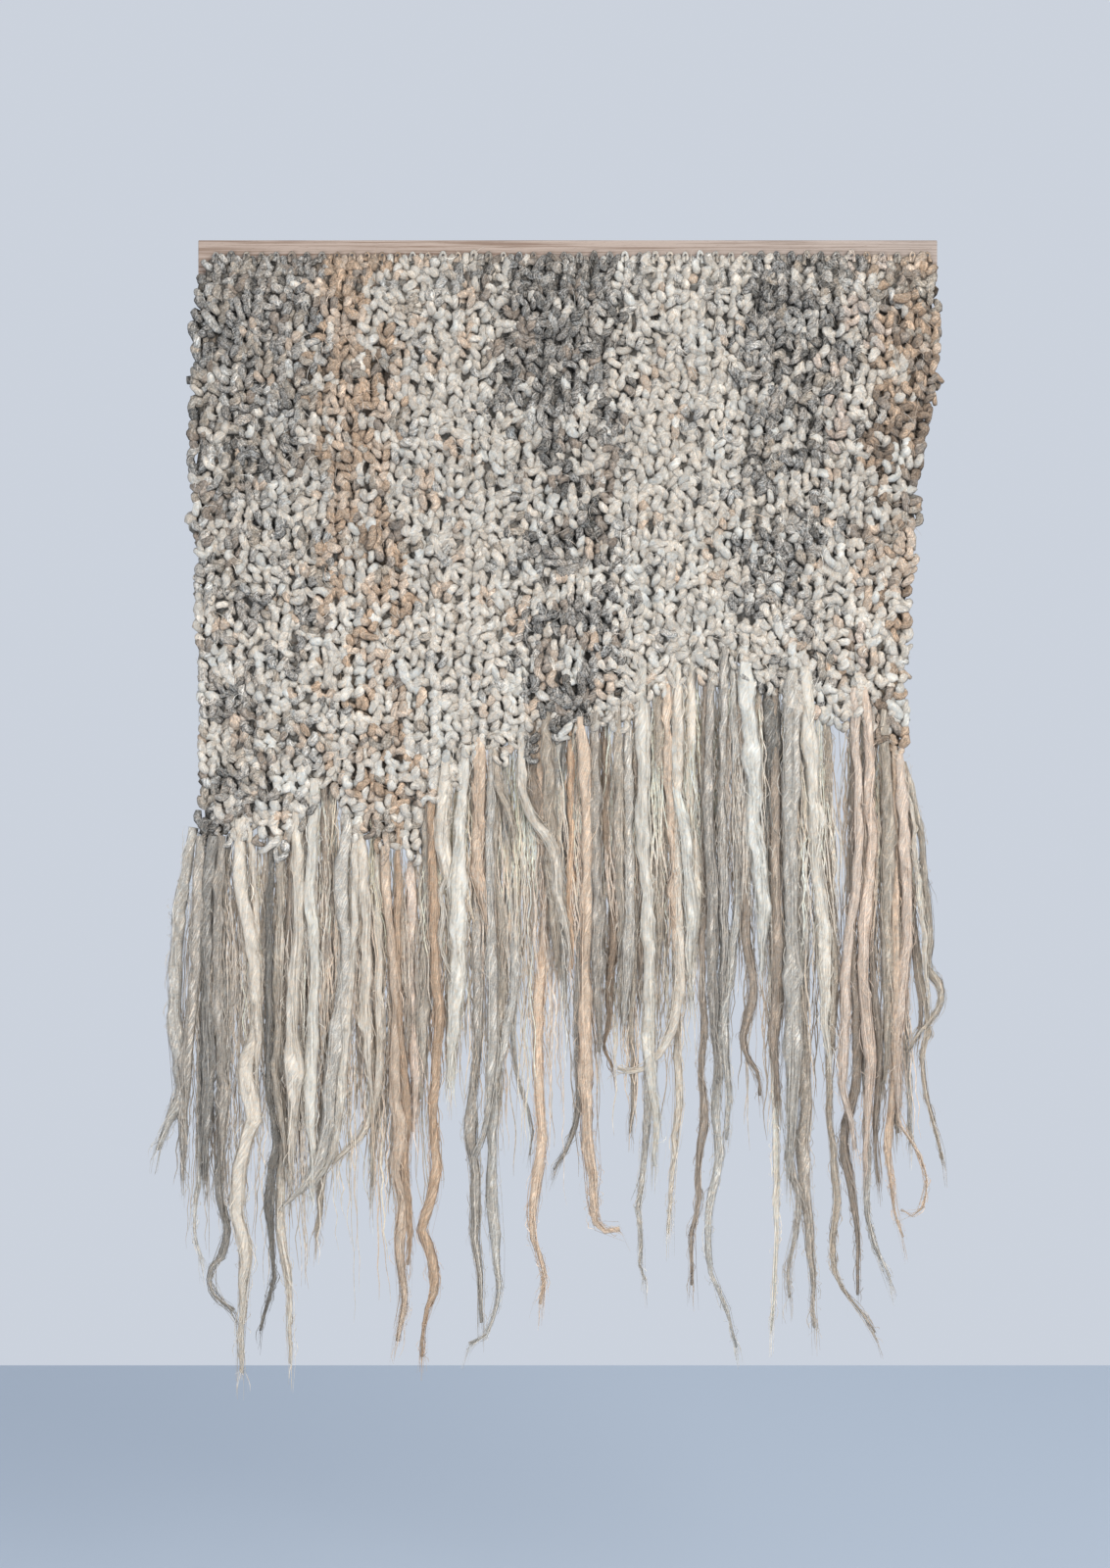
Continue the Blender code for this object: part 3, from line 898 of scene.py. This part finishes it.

# %% [markdown]
# ## The locks of the fringe
# Each lock is a length of unspun fleece, looped through the last stitches and left to
# hang. No two fall alike, so the clearest ones are set out one by one in a table: the wool,
# the width, the layer (0 against the wall, 2 in front) and the route down the lock.

# %% Routes of the locks
LOCKS = [
    # wool, width, layer, route as (x, z), all in millimetres
    ("silver", 17, 1, [(-455, -690), (-472, -790), (-477, -860), (-478, -920), (-468, -1000), (-482, -1040),
     (-498, -1082)]),
    ("ash", 14, 2, [(-446, -700), (-450, -800), (-454, -890), (-460, -940), (-466, -1010), (-467, -1080),
     (-466, -1118)]),
    ("grey", 15, 2, [(-430, -700), (-439, -790), (-437, -900), (-436, -1000), (-440, -1060),
     (-441, -1108)]),
    ("ash", 17, 0, [(-425, -700), (-436, -850), (-442, -1000), (-444, -1060), (-440, -1120)]),
    ("ash", 14, 2, [(-419, -700), (-424, -780), (-425, -900), (-419, -1000), (-420, -1100)]),
    ("silver", 8, 1, [(-440, -880), (-448, -1000), (-447, -1105), (-453, -1150), (-452, -1190),
     (-445, -1215)]),
    ("grey", 12, 1, [(-412, -700), (-418, -800), (-415, -960), (-421, -1070), (-424, -1130), (-414, -1180),
     (-420, -1212), (-436, -1226), (-436, -1244), (-426, -1262), (-405, -1276)]),
    ("cream", 16, 2, [(-400, -680), (-396, -770), (-385, -820), (-378, -930), (-392, -987), (-381, -1036),
     (-393, -1080), (-402, -1150), (-391, -1200), (-395, -1270), (-397, -1352)]),
    ("cream", 9, 2, [(-386, -690), (-380, -770), (-377, -850), (-376, -940), (-378, -1000)]),
    ("slate", 9, 2, [(-357, -716), (-362, -800), (-362, -960), (-361, -1020), (-352, -1075), (-361, -1110),
     (-360, -1190), (-355, -1232), (-363, -1260), (-373, -1300)]),
    ("taupe", 9, 2, [(-349, -720), (-350, -800), (-355, -870), (-352, -950), (-356, -990), (-347, -1040),
     (-343, -1100)]),
    ("tan", 11, 1, [(-339, -680), (-337, -780), (-343, -880), (-346, -980), (-340, -1080), (-336, -1120)]),
    ("cream", 16, 2, [(-331, -670), (-327, -760), (-327, -820), (-333, -880), (-334, -950), (-331, -990),
     (-335, -1060), (-337, -1130)]),
    ("cream", 13, 1, [(-350, -1000), (-349, -1165), (-348, -1200), (-339, -1240), (-338, -1342)]),
    ("white", 15, 2, [(-308, -630), (-310, -720), (-313, -775), (-307, -840), (-310, -940), (-313, -1020),
     (-309, -1090), (-310, -1142)]),
    ("tan", 11, 0, [(-320, -700), (-320, -880), (-325, -1010), (-324, -1122)]),
    ("tan", 12, 1, [(-297, -660), (-293, -760), (-293, -840), (-294, -896)]),
    ("taupe", 18, 0, [(-290, -700), (-291, -900), (-292, -1000), (-300, -1120), (-306, -1190)]),
    ("silver", 16, 2, [(-268, -700), (-276, -760), (-269, -840), (-276, -910), (-287, -990), (-290, -1045),
     (-300, -1092), (-322, -1128), (-344, -1148)]),
    ("cream", 13, 2, [(-252, -700), (-246, -770), (-244, -840), (-246, -910), (-242, -970), (-239, -1015)]),
    ("cream", 11, 2, [(-258, -720), (-258, -800), (-264, -880), (-270, -950), (-277, -1030), (-284, -1080),
     (-306, -1124)]),
    ("tan", 10, 1, [(-256, -740), (-254, -880), (-252, -940), (-254, -1008)]),
    ("cream", 13, 1, [(-232, -700), (-230, -850), (-228, -930), (-229, -990), (-243, -1050), (-264, -1078),
     (-288, -1098)]),
    ("taupe", 10, 0, [(-236, -730), (-234, -900), (-231, -1030), (-237, -1075), (-238, -1128)]),
    ("peach", 14, 2, [(-222, -712), (-220, -770), (-213, -830), (-208, -900), (-210, -1000), (-203, -1060),
     (-209, -1108), (-199, -1146), (-205, -1200), (-198, -1258), (-206, -1312)]),
    ("amber", 9, 2, [(-206, -760), (-206, -860), (-203, -950), (-195, -1030), (-199, -1100), (-192, -1160),
     (-193, -1220)]),
    ("rose", 14, 1, [(-191, -730), (-190, -800), (-193, -860), (-188, -920), (-184, -1000), (-188, -1060)]),
    ("taupe", 14, 1, [(-176, -640), (-172, -720), (-172, -830), (-176, -940), (-178, -1020)]),
    ("amber", 12, 2, [(-166, -640), (-163, -760), (-161, -860), (-156, -910), (-160, -980), (-164, -1060),
     (-158, -1095), (-165, -1135), (-176, -1180), (-165, -1208), (-161, -1248), (-173, -1280),
     (-177, -1332)]),
    ("cream", 17, 2, [(-147, -600), (-152, -680), (-150, -730), (-139, -765), (-134, -820), (-137, -900)]),
    ("cream", 6, 2, [(-146, -735), (-154, -766), (-150, -795), (-155, -822), (-148, -850), (-139, -866)]),
    ("white", 17, 2, [(-123, -590), (-130, -680), (-133, -760), (-133, -850), (-139, -930), (-144, -1005)]),
    ("peach", 17, 2, [(-107, -580), (-108, -700), (-110, -740), (-104, -768), (-98, -800)]),
    ("ash", 13, 1, [(-114, -640), (-111, -800), (-109, -940), (-118, -1040), (-117, -1080), (-112, -1110),
     (-113, -1190), (-107, -1225), (-105, -1292)]),
    ("silver", 12, 2, [(-93, -620), (-95, -740), (-92, -860), (-91, -960), (-96, -1020), (-101, -1060),
     (-114, -1088)]),
    ("silver", 12, 1, [(-78, -600), (-75, -700), (-70, -780), (-64, -850), (-67, -900), (-78, -950),
     (-88, -1000), (-92, -1070), (-92, -1150), (-87, -1200), (-85, -1268), (-94, -1294), (-104, -1310),
     (-119, -1317)]),
    ("taupe", 14, 1, [(-86, -620), (-90, -740), (-79, -795), (-80, -860), (-84, -950), (-82, -1020)]),
    ("taupe", 9, 2, [(-89, -590), (-84, -640), (-72, -668), (-66, -700)]),
    ("cream", 13, 2, [(-57, -580), (-56, -620), (-52, -656), (-40, -683), (-24, -702), (-15, -728),
     (-12, -770), (-6, -800), (3, -834)]),
    ("tan", 18, 1, [(-42, -545), (-44, -600), (-43, -640), (-36, -670), (-28, -700)]),
    ("taupe", 16, 2, [(-27, -545), (-25, -600), (-23, -650), (-22, -720), (-16, -800), (-14, -860)]),
    ("silver", 14, 1, [(-11, -550), (-13, -620), (-11, -690), (-10, -740), (-7, -830), (-3, -900)]),
    ("peach", 13, 1, [(-32, -640), (-28, -740), (-27, -810), (-35, -890), (-36, -990), (-32, -1045),
     (-33, -1085), (-40, -1130), (-44, -1182), (-35, -1208), (-28, -1236), (-34, -1270)]),
    ("silver", 7, 0, [(-60, -820), (-66, -950), (-58, -1005), (-47, -1038), (-42, -1062), (-47, -1090)]),
    ("peach", 15, 2, [(15, -555), (20, -610), (24, -680), (25, -760), (22, -860), (21, -950), (23, -1040),
     (25, -1084), (32, -1125), (31, -1160), (40, -1180), (64, -1177)]),
    ("amber", 11, 1, [(4, -560), (4, -640), (4, -700), (3, -790), (5, -862)]),
    ("ash", 10, 1, [(8, -600), (14, -720), (14, -820), (12, -900), (12, -970), (14, -1015), (9, -1055),
     (-4, -1085), (-17, -1106)]),
    ("slate", 6, 1, [(-4, -560), (-6, -620), (-3, -690), (-2, -745)]),
    ("ash", 14, 2, [(32, -550), (33, -640), (33, -710), (37, -790), (36, -880), (39, -962)]),
    ("brown", 11, 1, [(45, -545), (47, -620), (46, -690), (53, -760), (56, -820), (51, -890), (50, -935),
     (44, -958), (55, -982)]),
    ("taupe", 12, 2, [(60, -545), (62, -640), (63, -740), (67, -830), (62, -920)]),
    ("silver", 13, 2, [(73, -565), (73, -650), (75, -760), (73, -850), (68, -930)]),
    ("tan", 10, 1, [(82, -540), (84, -640), (84, -730), (88, -820), (88, -900)]),
    ("white", 15, 2, [(91, -490), (91, -560), (92, -630), (90, -690), (95, -760), (99, -840), (98, -930),
     (99, -980), (107, -1040), (105, -1100)]),
    ("taupe", 9, 1, [(82, -780), (80, -860), (77, -930), (80, -1000), (76, -1062)]),
    ("taupe", 19, 1, [(111, -505), (112, -600), (112, -680), (110, -760), (112, -850)]),
    ("peach", 11, 2, [(121, -600), (125, -680), (130, -740), (129, -800), (133, -862)]),
    ("white", 14, 2, [(131, -490), (132, -560), (132, -640), (142, -692), (146, -750), (151, -800),
     (146, -842), (150, -900)]),
    ("cream", 15, 1, [(149, -480), (150, -560), (148, -660), (154, -730), (156, -800), (154, -850)]),
    ("cream", 13, 2, [(134, -780), (136, -860), (129, -925), (114, -960), (96, -981), (76, -987),
     (60, -981)]),
    ("cream", 10, 0, [(132, -900), (136, -1010), (130, -1080), (125, -1140), (122, -1185)]),
    ("silver", 9, 1, [(98, -960), (96, -1060), (90, -1120), (85, -1158), (89, -1186), (88, -1216),
     (93, -1240)]),
    ("ash", 13, 2, [(174, -500), (172, -580), (170, -680), (176, -760), (175, -860), (178, -940),
     (182, -1000)]),
    ("tan", 10, 1, [(168, -520), (165, -620), (161, -700), (166, -770), (163, -860), (166, -930),
     (162, -990), (167, -1050), (159, -1085), (159, -1140), (150, -1195), (152, -1246)]),
    ("ash", 10, 2, [(190, -470), (189, -560), (187, -650), (188, -740), (190, -820), (188, -900)]),
    ("silver", 12, 1, [(200, -500), (203, -600), (206, -720), (207, -780), (197, -860), (189, -930),
     (196, -1010), (193, -1070)]),
    ("silver", 11, 1, [(188, -820), (184, -960), (180, -1040), (185, -1090), (176, -1130), (170, -1180),
     (171, -1216), (182, -1250), (196, -1284), (206, -1322)]),
    ("white", 18, 2, [(214, -470), (219, -550), (225, -620), (226, -690), (232, -730), (237, -790),
     (234, -864)]),
    ("taupe", 9, 1, [(231, -500), (233, -580), (236, -640), (240, -700)]),
    ("tan", 12, 1, [(212, -560), (212, -650), (216, -740), (217, -820), (224, -872), (225, -903),
     (213, -940), (215, -962), (231, -990), (233, -1016)]),
    ("slate", 24, 0, [(247, -500), (249, -600), (247, -680), (250, -760), (252, -830)]),
    ("tan", 15, 1, [(252, -640), (252, -740), (254, -830), (256, -890), (251, -950), (256, -1022)]),
    ("silver", 19, 2, [(272, -500), (272, -600), (270, -700), (272, -820), (273, -930), (272, -1030),
     (268, -1116)]),
    ("cream", 9, 0, [(249, -880), (252, -1010), (254, -1120), (254, -1210), (249, -1304)]),
    ("ash", 12, 1, [(276, -960), (270, -1085), (277, -1125), (282, -1150), (276, -1190), (268, -1225),
     (270, -1262)]),
    ("ash", 15, 0, [(286, -900), (290, -1030), (286, -1090), (292, -1160), (298, -1230), (301, -1300)]),
    ("silver", 11, 1, [(285, -500), (287, -600), (286, -700), (289, -800), (287, -880)]),
    ("white", 18, 2, [(289, -490), (292, -570), (298, -640), (302, -700), (302, -745), (309, -790),
     (312, -860), (312, -920), (316, -968)]),
    ("taupe", 9, 1, [(313, -550), (316, -640), (316, -720), (321, -800), (319, -880)]),
    ("taupe", 10, 1, [(317, -740), (325, -840), (321, -920), (317, -1000), (321, -1070), (328, -1145),
     (322, -1195), (323, -1228), (339, -1257), (358, -1280), (374, -1303)]),
    ("rose", 12, 2, [(347, -520), (350, -600), (353, -690), (349, -770), (339, -840), (336, -940),
     (333, -1000), (342, -1040), (348, -1080)]),
    ("rose", 13, 2, [(359, -520), (366, -590), (365, -660), (370, -705), (362, -790), (358, -860),
     (363, -930), (367, -980), (362, -1060), (361, -1108)]),
    ("tan", 12, 1, [(348, -700), (346, -820), (352, -920), (351, -1000), (340, -1045), (336, -1080),
     (345, -1128), (352, -1180), (352, -1258)]),
    ("tan", 11, 1, [(372, -600), (370, -760), (370, -860), (379, -960), (376, -1030), (374, -1080),
     (379, -1122)]),
    ("silver", 10, 0, [(362, -900), (364, -1050), (366, -1120), (364, -1155), (372, -1190), (392, -1238)]),
    ("taupe", 15, 2, [(383, -540), (386, -620), (389, -700), (387, -790), (390, -880), (388, -960),
     (384, -1000)]),
    ("taupe", 14, 1, [(396, -590), (394, -700), (398, -800), (396, -900), (398, -1000), (402, -1062)]),
    ("rose", 15, 2, [(402, -600), (407, -690), (411, -760), (411, -830), (403, -890), (399, -960),
     (401, -1030)]),
    ("tan", 8, 1, [(412, -640), (418, -730), (419, -800), (424, -860), (429, -920), (424, -950)]),
    ("taupe", 11, 1, [(409, -610), (419, -650), (430, -705), (435, -765), (440, -815), (437, -860),
     (451, -878), (453, -902), (441, -924), (426, -941), (414, -960)]),
    ("cream", 6, 2, [(416, -660), (422, -730), (429, -790), (433, -840), (438, -910)]),
    ("taupe", 7, 1, [(434, -900), (441, -945), (430, -957), (433, -1000), (443, -1045), (450, -1070),
     (456, -1094)]),
    ("peach", 9, 2, [(398, -940), (393, -1030), (388, -1072), (392, -1120), (398, -1160), (406, -1186)]),
    ("peach", 5, 1, [(400, -1000), (405, -1052), (420, -1072), (432, -1098), (437, -1132), (430, -1156),
     (416, -1163), (405, -1154)]),
    ("silver", 9, 0, [(408, -820), (414, -980), (417, -1030), (417, -1076)]),
]
print("locks set out by hand", len(LOCKS))

# %% [markdown]
# A smooth curve through a route's points gives the middle line of a lock. It gets a
# little crimp of its own, because fleece never hangs quite straight, and it swings to and
# fro in depth. The lock leaves its knot narrow, fills out, and thins to a wisp.

# %% Shape the locks
LOCK_RINGS = 36
LOCK_SIDES = 8
LAYER_Y = (-0.0150, -0.0215, -0.0285)
CRIMP = 0.0009
CRIMP_WAVES = (88, 190)
SWING = (0.0022, 0.0011)
SWING_WAVES = (16, 60)
SETTLE = 0.03
FUZZ_ALLOWANCE = (0.0012, 0.0011, 0.0006)
LOCK_FLAT = 0.62
LOCK_PITCH = 0.045
LOCK_PLY_SHADE = 0.07
LOCK_GAIN = 1.23
LOCK_SHADE = 0.94
BRIGHTEST = 0.92
THINNEST = 0.0012
BEHIND_PAINTED_LIGHT = 1.06
LOCK_ROOT = 0.014
TAPER_FROM = 0.72
TIP_TAPER = 0.70
FLUFFED = 0.16
FLEECE_WARMTH = (1.0, 0.982, 0.952)


def smooth_route(route, rings):
    """A smooth curve through the points, read at even distances."""
    points = np.array([(x / 1e3, z / 1e3) for x, z in route])
    root_x = float(np.clip(points[0, 0], column_middle(0, LOW_Z), column_middle(COLUMNS - 1, LOW_Z)))
    root = lower_edge(root_x) + LOCK_ROOT
    if points[0, 1] < root - 0.02:
        points = np.concatenate([[(root_x, root)], points])
    ends = np.concatenate([[2 * points[0] - points[1]], points, [2 * points[-1] - points[-2]]])
    t = np.linspace(0, 1, 12, endpoint=False)[:, None]
    line = []
    for a, b, c, d in zip(ends, ends[1:], ends[2:], ends[3:]):
        bend = (2 * a - 5 * b + 4 * c - d) * t**2
        line.append(0.5 * (2 * b + (c - a) * t + bend + (3 * b - a - 3 * c + d) * t**3))
    line = np.concatenate([*line, points[-1:]])
    run = np.concatenate([[0], np.cumsum(np.linalg.norm(np.diff(line, axis=0), axis=1))])
    even = np.linspace(0, run[-1], rings)
    return np.stack([np.interp(even, run, line[:, 0]), np.interp(even, run, line[:, 1])], 1), even


def lock_spine(route, layer, rings=LOCK_RINGS):
    flat, run = smooth_route(route, rings)
    phase = draw.uniform(0, 6.28, 4)
    waves = np.sin(run * CRIMP_WAVES[0] + phase[0]) + 0.7 * np.sin(run * CRIMP_WAVES[1] + phase[1])
    crimp = CRIMP * draw.uniform(0.3, 1.3) * waves
    swing = SWING[0] * np.sin(run * SWING_WAVES[0] + phase[2])
    swing = swing + SWING[1] * np.sin(run * SWING_WAVES[1] + phase[3])
    settle = np.clip(run / SETTLE, 0, 1)
    return np.stack([flat[:, 0] + crimp * settle, LAYER_Y[layer] + swing * settle, flat[:, 1]], 1)


def lock_girth(rings):
    share = np.linspace(0, 1, rings)
    filled = 0.66 + 0.34 * np.clip(share / 0.10, 0, 1)
    thinned = np.clip((share - TAPER_FROM) / (1 - TAPER_FROM), 0, 1)
    fluffed = 1 + FLUFFED * np.clip((share - 0.35) / 0.35, 0, 1)
    return filled * fluffed * (1 - TIP_TAPER * eased(thinned))


wools, widths, layers, routes = zip(*LOCKS)
lock_spines = np.array([lock_spine(route, layer) for route, layer in zip(routes, layers)])
lock_widths = np.array(widths) / 1e3
lock_tints = np.array([varied(wool, 0.06) for wool in wools])
lock_layers = np.array(layers)
lock_tints[:, :3] *= FLEECE_WARMTH
# Painted light: the locks of the back layers are made lighter, against the shade that the locks in front
# cast on them.
lock_tints[:, :3] *= LOCK_GAIN * (1 + (BEHIND_PAINTED_LIGHT - 1) * (2 - lock_layers))[:, None]
core = np.maximum(lock_widths / 2 - np.array(FUZZ_ALLOWANCE)[lock_layers], THINNEST)
half_widths = core[:, None] * lock_girth(LOCK_RINGS) * slub(len(LOCKS), LOCK_RINGS, 0.14, 15)
ring_tints = np.repeat(lock_tints[:, None, :], LOCK_RINGS, axis=1)
mottled = ring_tints[:, :, :3] * slub(len(LOCKS), LOCK_RINGS, 0.06, 12)[:, :, None]
ring_tints[:, :, :3] = np.minimum(mottled, BRIGHTEST)
locks = make_tubes(
    "locks", lock_spines, half_widths, half_widths * LOCK_FLAT, ring_tints, LOCK_SIDES,
    lock_wool, shade=LOCK_SHADE, pitch=LOCK_PITCH, ply_shade=LOCK_PLY_SHADE,
)

# %% [markdown]
# ## Loose fibres
# A lock has no skin. Bundles of fibres wind along it, stray a few millimetres and spread
# at the tip, and short hairs stand off it, which makes its outline soft. Each is a thin
# ribbon that follows the lock at its own angle and distance.

# %% Fibres along the locks
LONG_RINGS = 13
HAIR_RINGS = 5
LONG_PER_WIDTH = 2.6
HAIR_PITCH = 0.0027
AGAINST_WALL = -0.0010
FIBRE_HEATHER = 0.6
TIP_SHARE = 0.25
STRAY_SHARE = 0.35
lock_across, lock_outward = ring_frames(lock_spines)


def follow(index, reads):
    """The middle line, directions and girth of one lock at some distances along it."""
    run = distances(lock_spines[index:index + 1])[0]
    at = np.interp(reads, run, np.arange(len(run)))

    def blend(values):
        return np.stack([np.interp(at, np.arange(len(run)), values[:, k]) for k in range(3)], 1)

    middle_line = blend(lock_spines[index])
    last = lock_spines[index, -1] - lock_spines[index, -4]
    last = last / np.linalg.norm(last) * 0.5 + (0, 0, -0.5)
    middle_line += np.clip(reads - run[-1], 0, None)[:, None] * last
    girth = np.interp(at, np.arange(len(run)), half_widths[index])
    return middle_line, blend(lock_across[index]), blend(lock_outward[index]), girth, run[-1]


def fibre(index, start, end, rings, loose, turn, thick, lightness, facing):
    """One strand: its line, sideways direction, half widths and tints."""
    share = np.linspace(0, 1, rings)
    middle_line, side_on, front_on, girth, _ = follow(index, np.linspace(start, end, rings))
    angle = draw.uniform(0, 2 * math.pi) + turn * share
    reach = girth * draw.uniform(0.94, 1.05) + loose
    line = middle_line + side_on * (np.cos(angle) * reach)[:, None]
    line += front_on * (np.sin(angle) * reach * 0.66)[:, None]
    line[:, 1] = np.minimum(line[:, 1], AGAINST_WALL)
    sway = angle + math.pi / 2 if facing is None else np.full(rings, facing)
    sideways = side_on * np.cos(sway)[:, None] + front_on * np.sin(sway)[:, None]
    half = thick * (1 - 0.75 * np.abs(2 * share - 1) ** 3)
    return line, sideways, half, np.tile(lit(lock_tints[index], lightness, FIBRE_HEATHER), (rings, 1))


def spread_of(index):
    """How far fibres stray from a lock: a thin, dark one is tightly twisted."""
    return float(np.clip(lock_widths[index] / 0.014, 0.5, 1.1) * (1.12 - 0.5 * lock_tints[index, 3]))


def long_fibres(index):
    """Strands that run along much of a lock and spread at its tip."""
    length = follow(index, np.zeros(2))[4]
    spread = spread_of(index)
    share = np.linspace(0, 1, LONG_RINGS)
    fleck = 0.07 + 0.30 * lock_tints[index, 3] ** 2
    made = []
    for _ in range(int(8 + LONG_PER_WIDTH * lock_widths[index] * 1e3)):
        start = draw.uniform(0.0, 0.8) * length
        end = min(start + draw.uniform(0.05, 0.26), length + draw.uniform(-0.02, 0.02))
        if draw.random() < TIP_SHARE:
            end = length + draw.uniform(0.0, 0.035)
        wave = 1 + 0.8 * np.sin(share * draw.uniform(5, 20) + draw.uniform(0, 6.28))
        stray = 0.0022 * spread if draw.random() < STRAY_SHARE else 0.0003
        loose = (abs(draw.normal(0, stray)) + 0.0050 * abs(draw.normal(0, 0.6)) * share**4) * wave
        turn = draw.normal(0, 1.4)
        thick = draw.uniform(0.00035, 0.00080)
        lightness = math.exp(draw.normal(0.02, fleck))
        made.append(fibre(index, start, end, LONG_RINGS, loose, turn, thick, lightness, None))
    return made


def hairs(index):
    """Short hairs that stand off a lock and make its outline soft."""
    length = follow(index, np.zeros(2))[4]
    spread = spread_of(index)
    share = np.linspace(0, 1, HAIR_RINGS)
    made = []
    for _ in range(int(length / HAIR_PITCH)):
        start = draw.uniform(0.0, length)
        end = start + draw.normal(0.004, 0.018)
        loose = draw.uniform(0.0012, 0.0095) * spread * np.sin(share * draw.uniform(1.4, 3.1))
        turn = draw.normal(0, 1.5)
        thick = draw.uniform(0.00022, 0.00052)
        lightness = math.exp(draw.normal(0.08, 0.12))
        facing = draw.uniform(-1.1, 1.1)
        made.append(fibre(index, start, end, HAIR_RINGS, loose, turn, thick, lightness, facing))
    return made


fringe_pieces = [locks]
for name, maker in (("long_fibres", long_fibres), ("fine_hairs", hairs)):
    made = [strand for index in range(len(LOCKS)) for strand in maker(index)]
    fringe_pieces.append(make_ribbons(name, made))

# %% [markdown]
# Behind and between the clear locks hangs fleece so loose that the wall shows through it.
# It has no core at all: each wisp is some thirty ribbons that leave the lower edge
# together, spread as they fall and end at different heights.

# %% Wisps behind the locks
WISP_STEP = 0.0056
WISP_STRANDS = 33
SHORT_WISPS = 0.66
WISP_RINGS = 12
WISP_DEPTHS = (-0.0270, -0.0110)
WISP_PALE = 0.35
WISP_LIGHT_GAIN = (1.66, 1.30)
PALEST = 0.90
LEFT_PART = -0.20
LEFT_LONGER = 1.18
WISP_WOOLS = [
    # right-hand edge in metres, parts of each wool
    (-0.33, {"ash": 3, "taupe": 3, "grey": 1.5, "cream": 1.5}),
    (0.14, {"peach": 4, "rose": 2, "taupe": 2, "cream": 3, "tan": 1}),
    (0.31, {"silver": 3, "taupe": 3, "cream": 2, "tan": 1.5, "peach": 1}),
    (0.50, {"rose": 2, "peach": 2, "taupe": 2.5, "tan": 3}),
]
OPEN_PLACES = [(0.322, 0.343)]


def wisp(x):
    """The ribbons of one wisp: lines, sideways directions, half widths and tints."""
    top = lower_edge(x) + 0.010
    drop = draw.uniform(0.27, 0.50) if draw.random() < SHORT_WISPS else draw.uniform(0.48, 0.66)
    drop = min(drop * (LEFT_LONGER if x < LEFT_PART else 1.0), top - comb_low.z - 0.05)
    edge = x + draw.normal(0, 0.02)
    wool = pick_from(next(parts for right, parts in WISP_WOOLS if edge < right))
    tint = varied(wool, 0.05) * (1 - WISP_PALE) + (TINTS["cream"] + TINTS["peach"]) / 2 * WISP_PALE
    tint = tint * (*FLEECE_WARMTH, 1)
    depth = draw.uniform(*WISP_DEPTHS)
    sway = draw.normal(0, 0.010)
    phase = draw.uniform(0, 6.28)
    share = np.linspace(0, 1, WISP_RINGS)
    made = []
    for _ in range(WISP_STRANDS):
        start = draw.uniform(0, 0.75) ** 1.6 * drop
        end = min(start + draw.uniform(0.09, 0.24), drop * draw.uniform(0.65, 1.08))
        if end < start + 0.04:
            start = end - 0.06
        run = start + (end - start) * share
        open_out = 0.0030 + 0.0085 * np.clip(run / 0.16, 0, 1)
        curl = draw.uniform(0.0005, 0.0030) * np.sin(run * draw.uniform(50, 180) + draw.uniform(0, 6.28))
        drift = sway * (run / drop) ** 2 + 0.0020 * np.sin(run * 18 + phase)
        seat = draw.normal(0, 0.8) + draw.normal(0, 0.5) * share
        aside = x + drift + seat * open_out + curl
        line = np.stack([aside, depth + 0.003 * np.sin(run * 25 + seat), top - run], 1)
        turned = draw.uniform(-0.9, 0.9)
        half = draw.uniform(0.00035, 0.00100) * (1 - 0.8 * np.abs(2 * share - 1) ** 3)
        lightness = math.exp(draw.normal(0.0, 0.09))
        # Painted light: the wisps are made lighter, most at their tops, against the shade that the locks in
        # front cast on them.
        gain = lightness * np.interp(run, (0, 0.25), WISP_LIGHT_GAIN)
        tints = np.minimum(tint * np.stack([gain, gain, gain, np.full(WISP_RINGS, 0.8)], 1), PALEST)
        made.append((line, np.tile((math.cos(turned), math.sin(turned), 0), (WISP_RINGS, 1)), half, tints))
    return made


wisps = []
x = panel_low.x + 0.012
while x < panel_high.x - 0.040:
    if not any(start < x < end for start, end in OPEN_PLACES):
        wisps += wisp(x)
    x += WISP_STEP * draw.uniform(0.7, 1.3)
fringe_pieces.append(make_ribbons("wisps", wisps))

# %% [markdown]
# The body sheds fibres too. Short ones stand a little off the stitches in every direction
# and catch the light.

# %% Fibres on the body
BODY_FIBRES = 3200
FUZZ_RINGS = 6


def body_fibre():
    """One short, bowed fibre that stands off the stitches."""
    share = np.linspace(0, 1, FUZZ_RINGS)
    column = draw.uniform(-0.45, COLUMNS - 0.55)
    x = column_middle(column, LOW_Z)
    z = draw.uniform(lower_edge(x) - 0.004, panel_high.z - 0.006)
    x = column_middle(column, z)
    aim = draw.normal(0, 0.9)
    length = draw.uniform(0.010, 0.026)
    bow = draw.normal(0, 0.20) * length
    arch = np.sin(math.pi * share)
    out = face_depth(x, z) - draw.uniform(0.0004, 0.0030) * arch
    run_x = math.sin(aim) * length * (share - 0.5) + math.cos(aim) * bow * arch
    run_z = -math.cos(aim) * length * (share - 0.5) + math.sin(aim) * bow * arch
    line = np.stack([x + run_x, out, z + run_z], 1)
    sideways = np.tile((math.cos(aim), 0.25, math.sin(aim)), (FUZZ_RINGS, 1))
    half = draw.uniform(0.00018, 0.00045) * (1 - 0.8 * np.abs(2 * share - 1))
    return line, sideways, half, np.tile(varied(pick_wool(x, z), 0.25), (FUZZ_RINGS, 1))


body_pieces.append(make_ribbons("body_fibres", [body_fibre() for _ in range(BODY_FIBRES)]))

# %% [markdown]
# ## The plain solids hidden
# The new pieces stand in for the two plain solids, which are hidden. The ground hangs from
# the board by way of all the nails in its top edge.

# %% Hide the plain solids
for piece in [ground, *body_pieces]:
    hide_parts("knotted_panel")
for piece in fringe_pieces:
    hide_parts("fringe_comb")
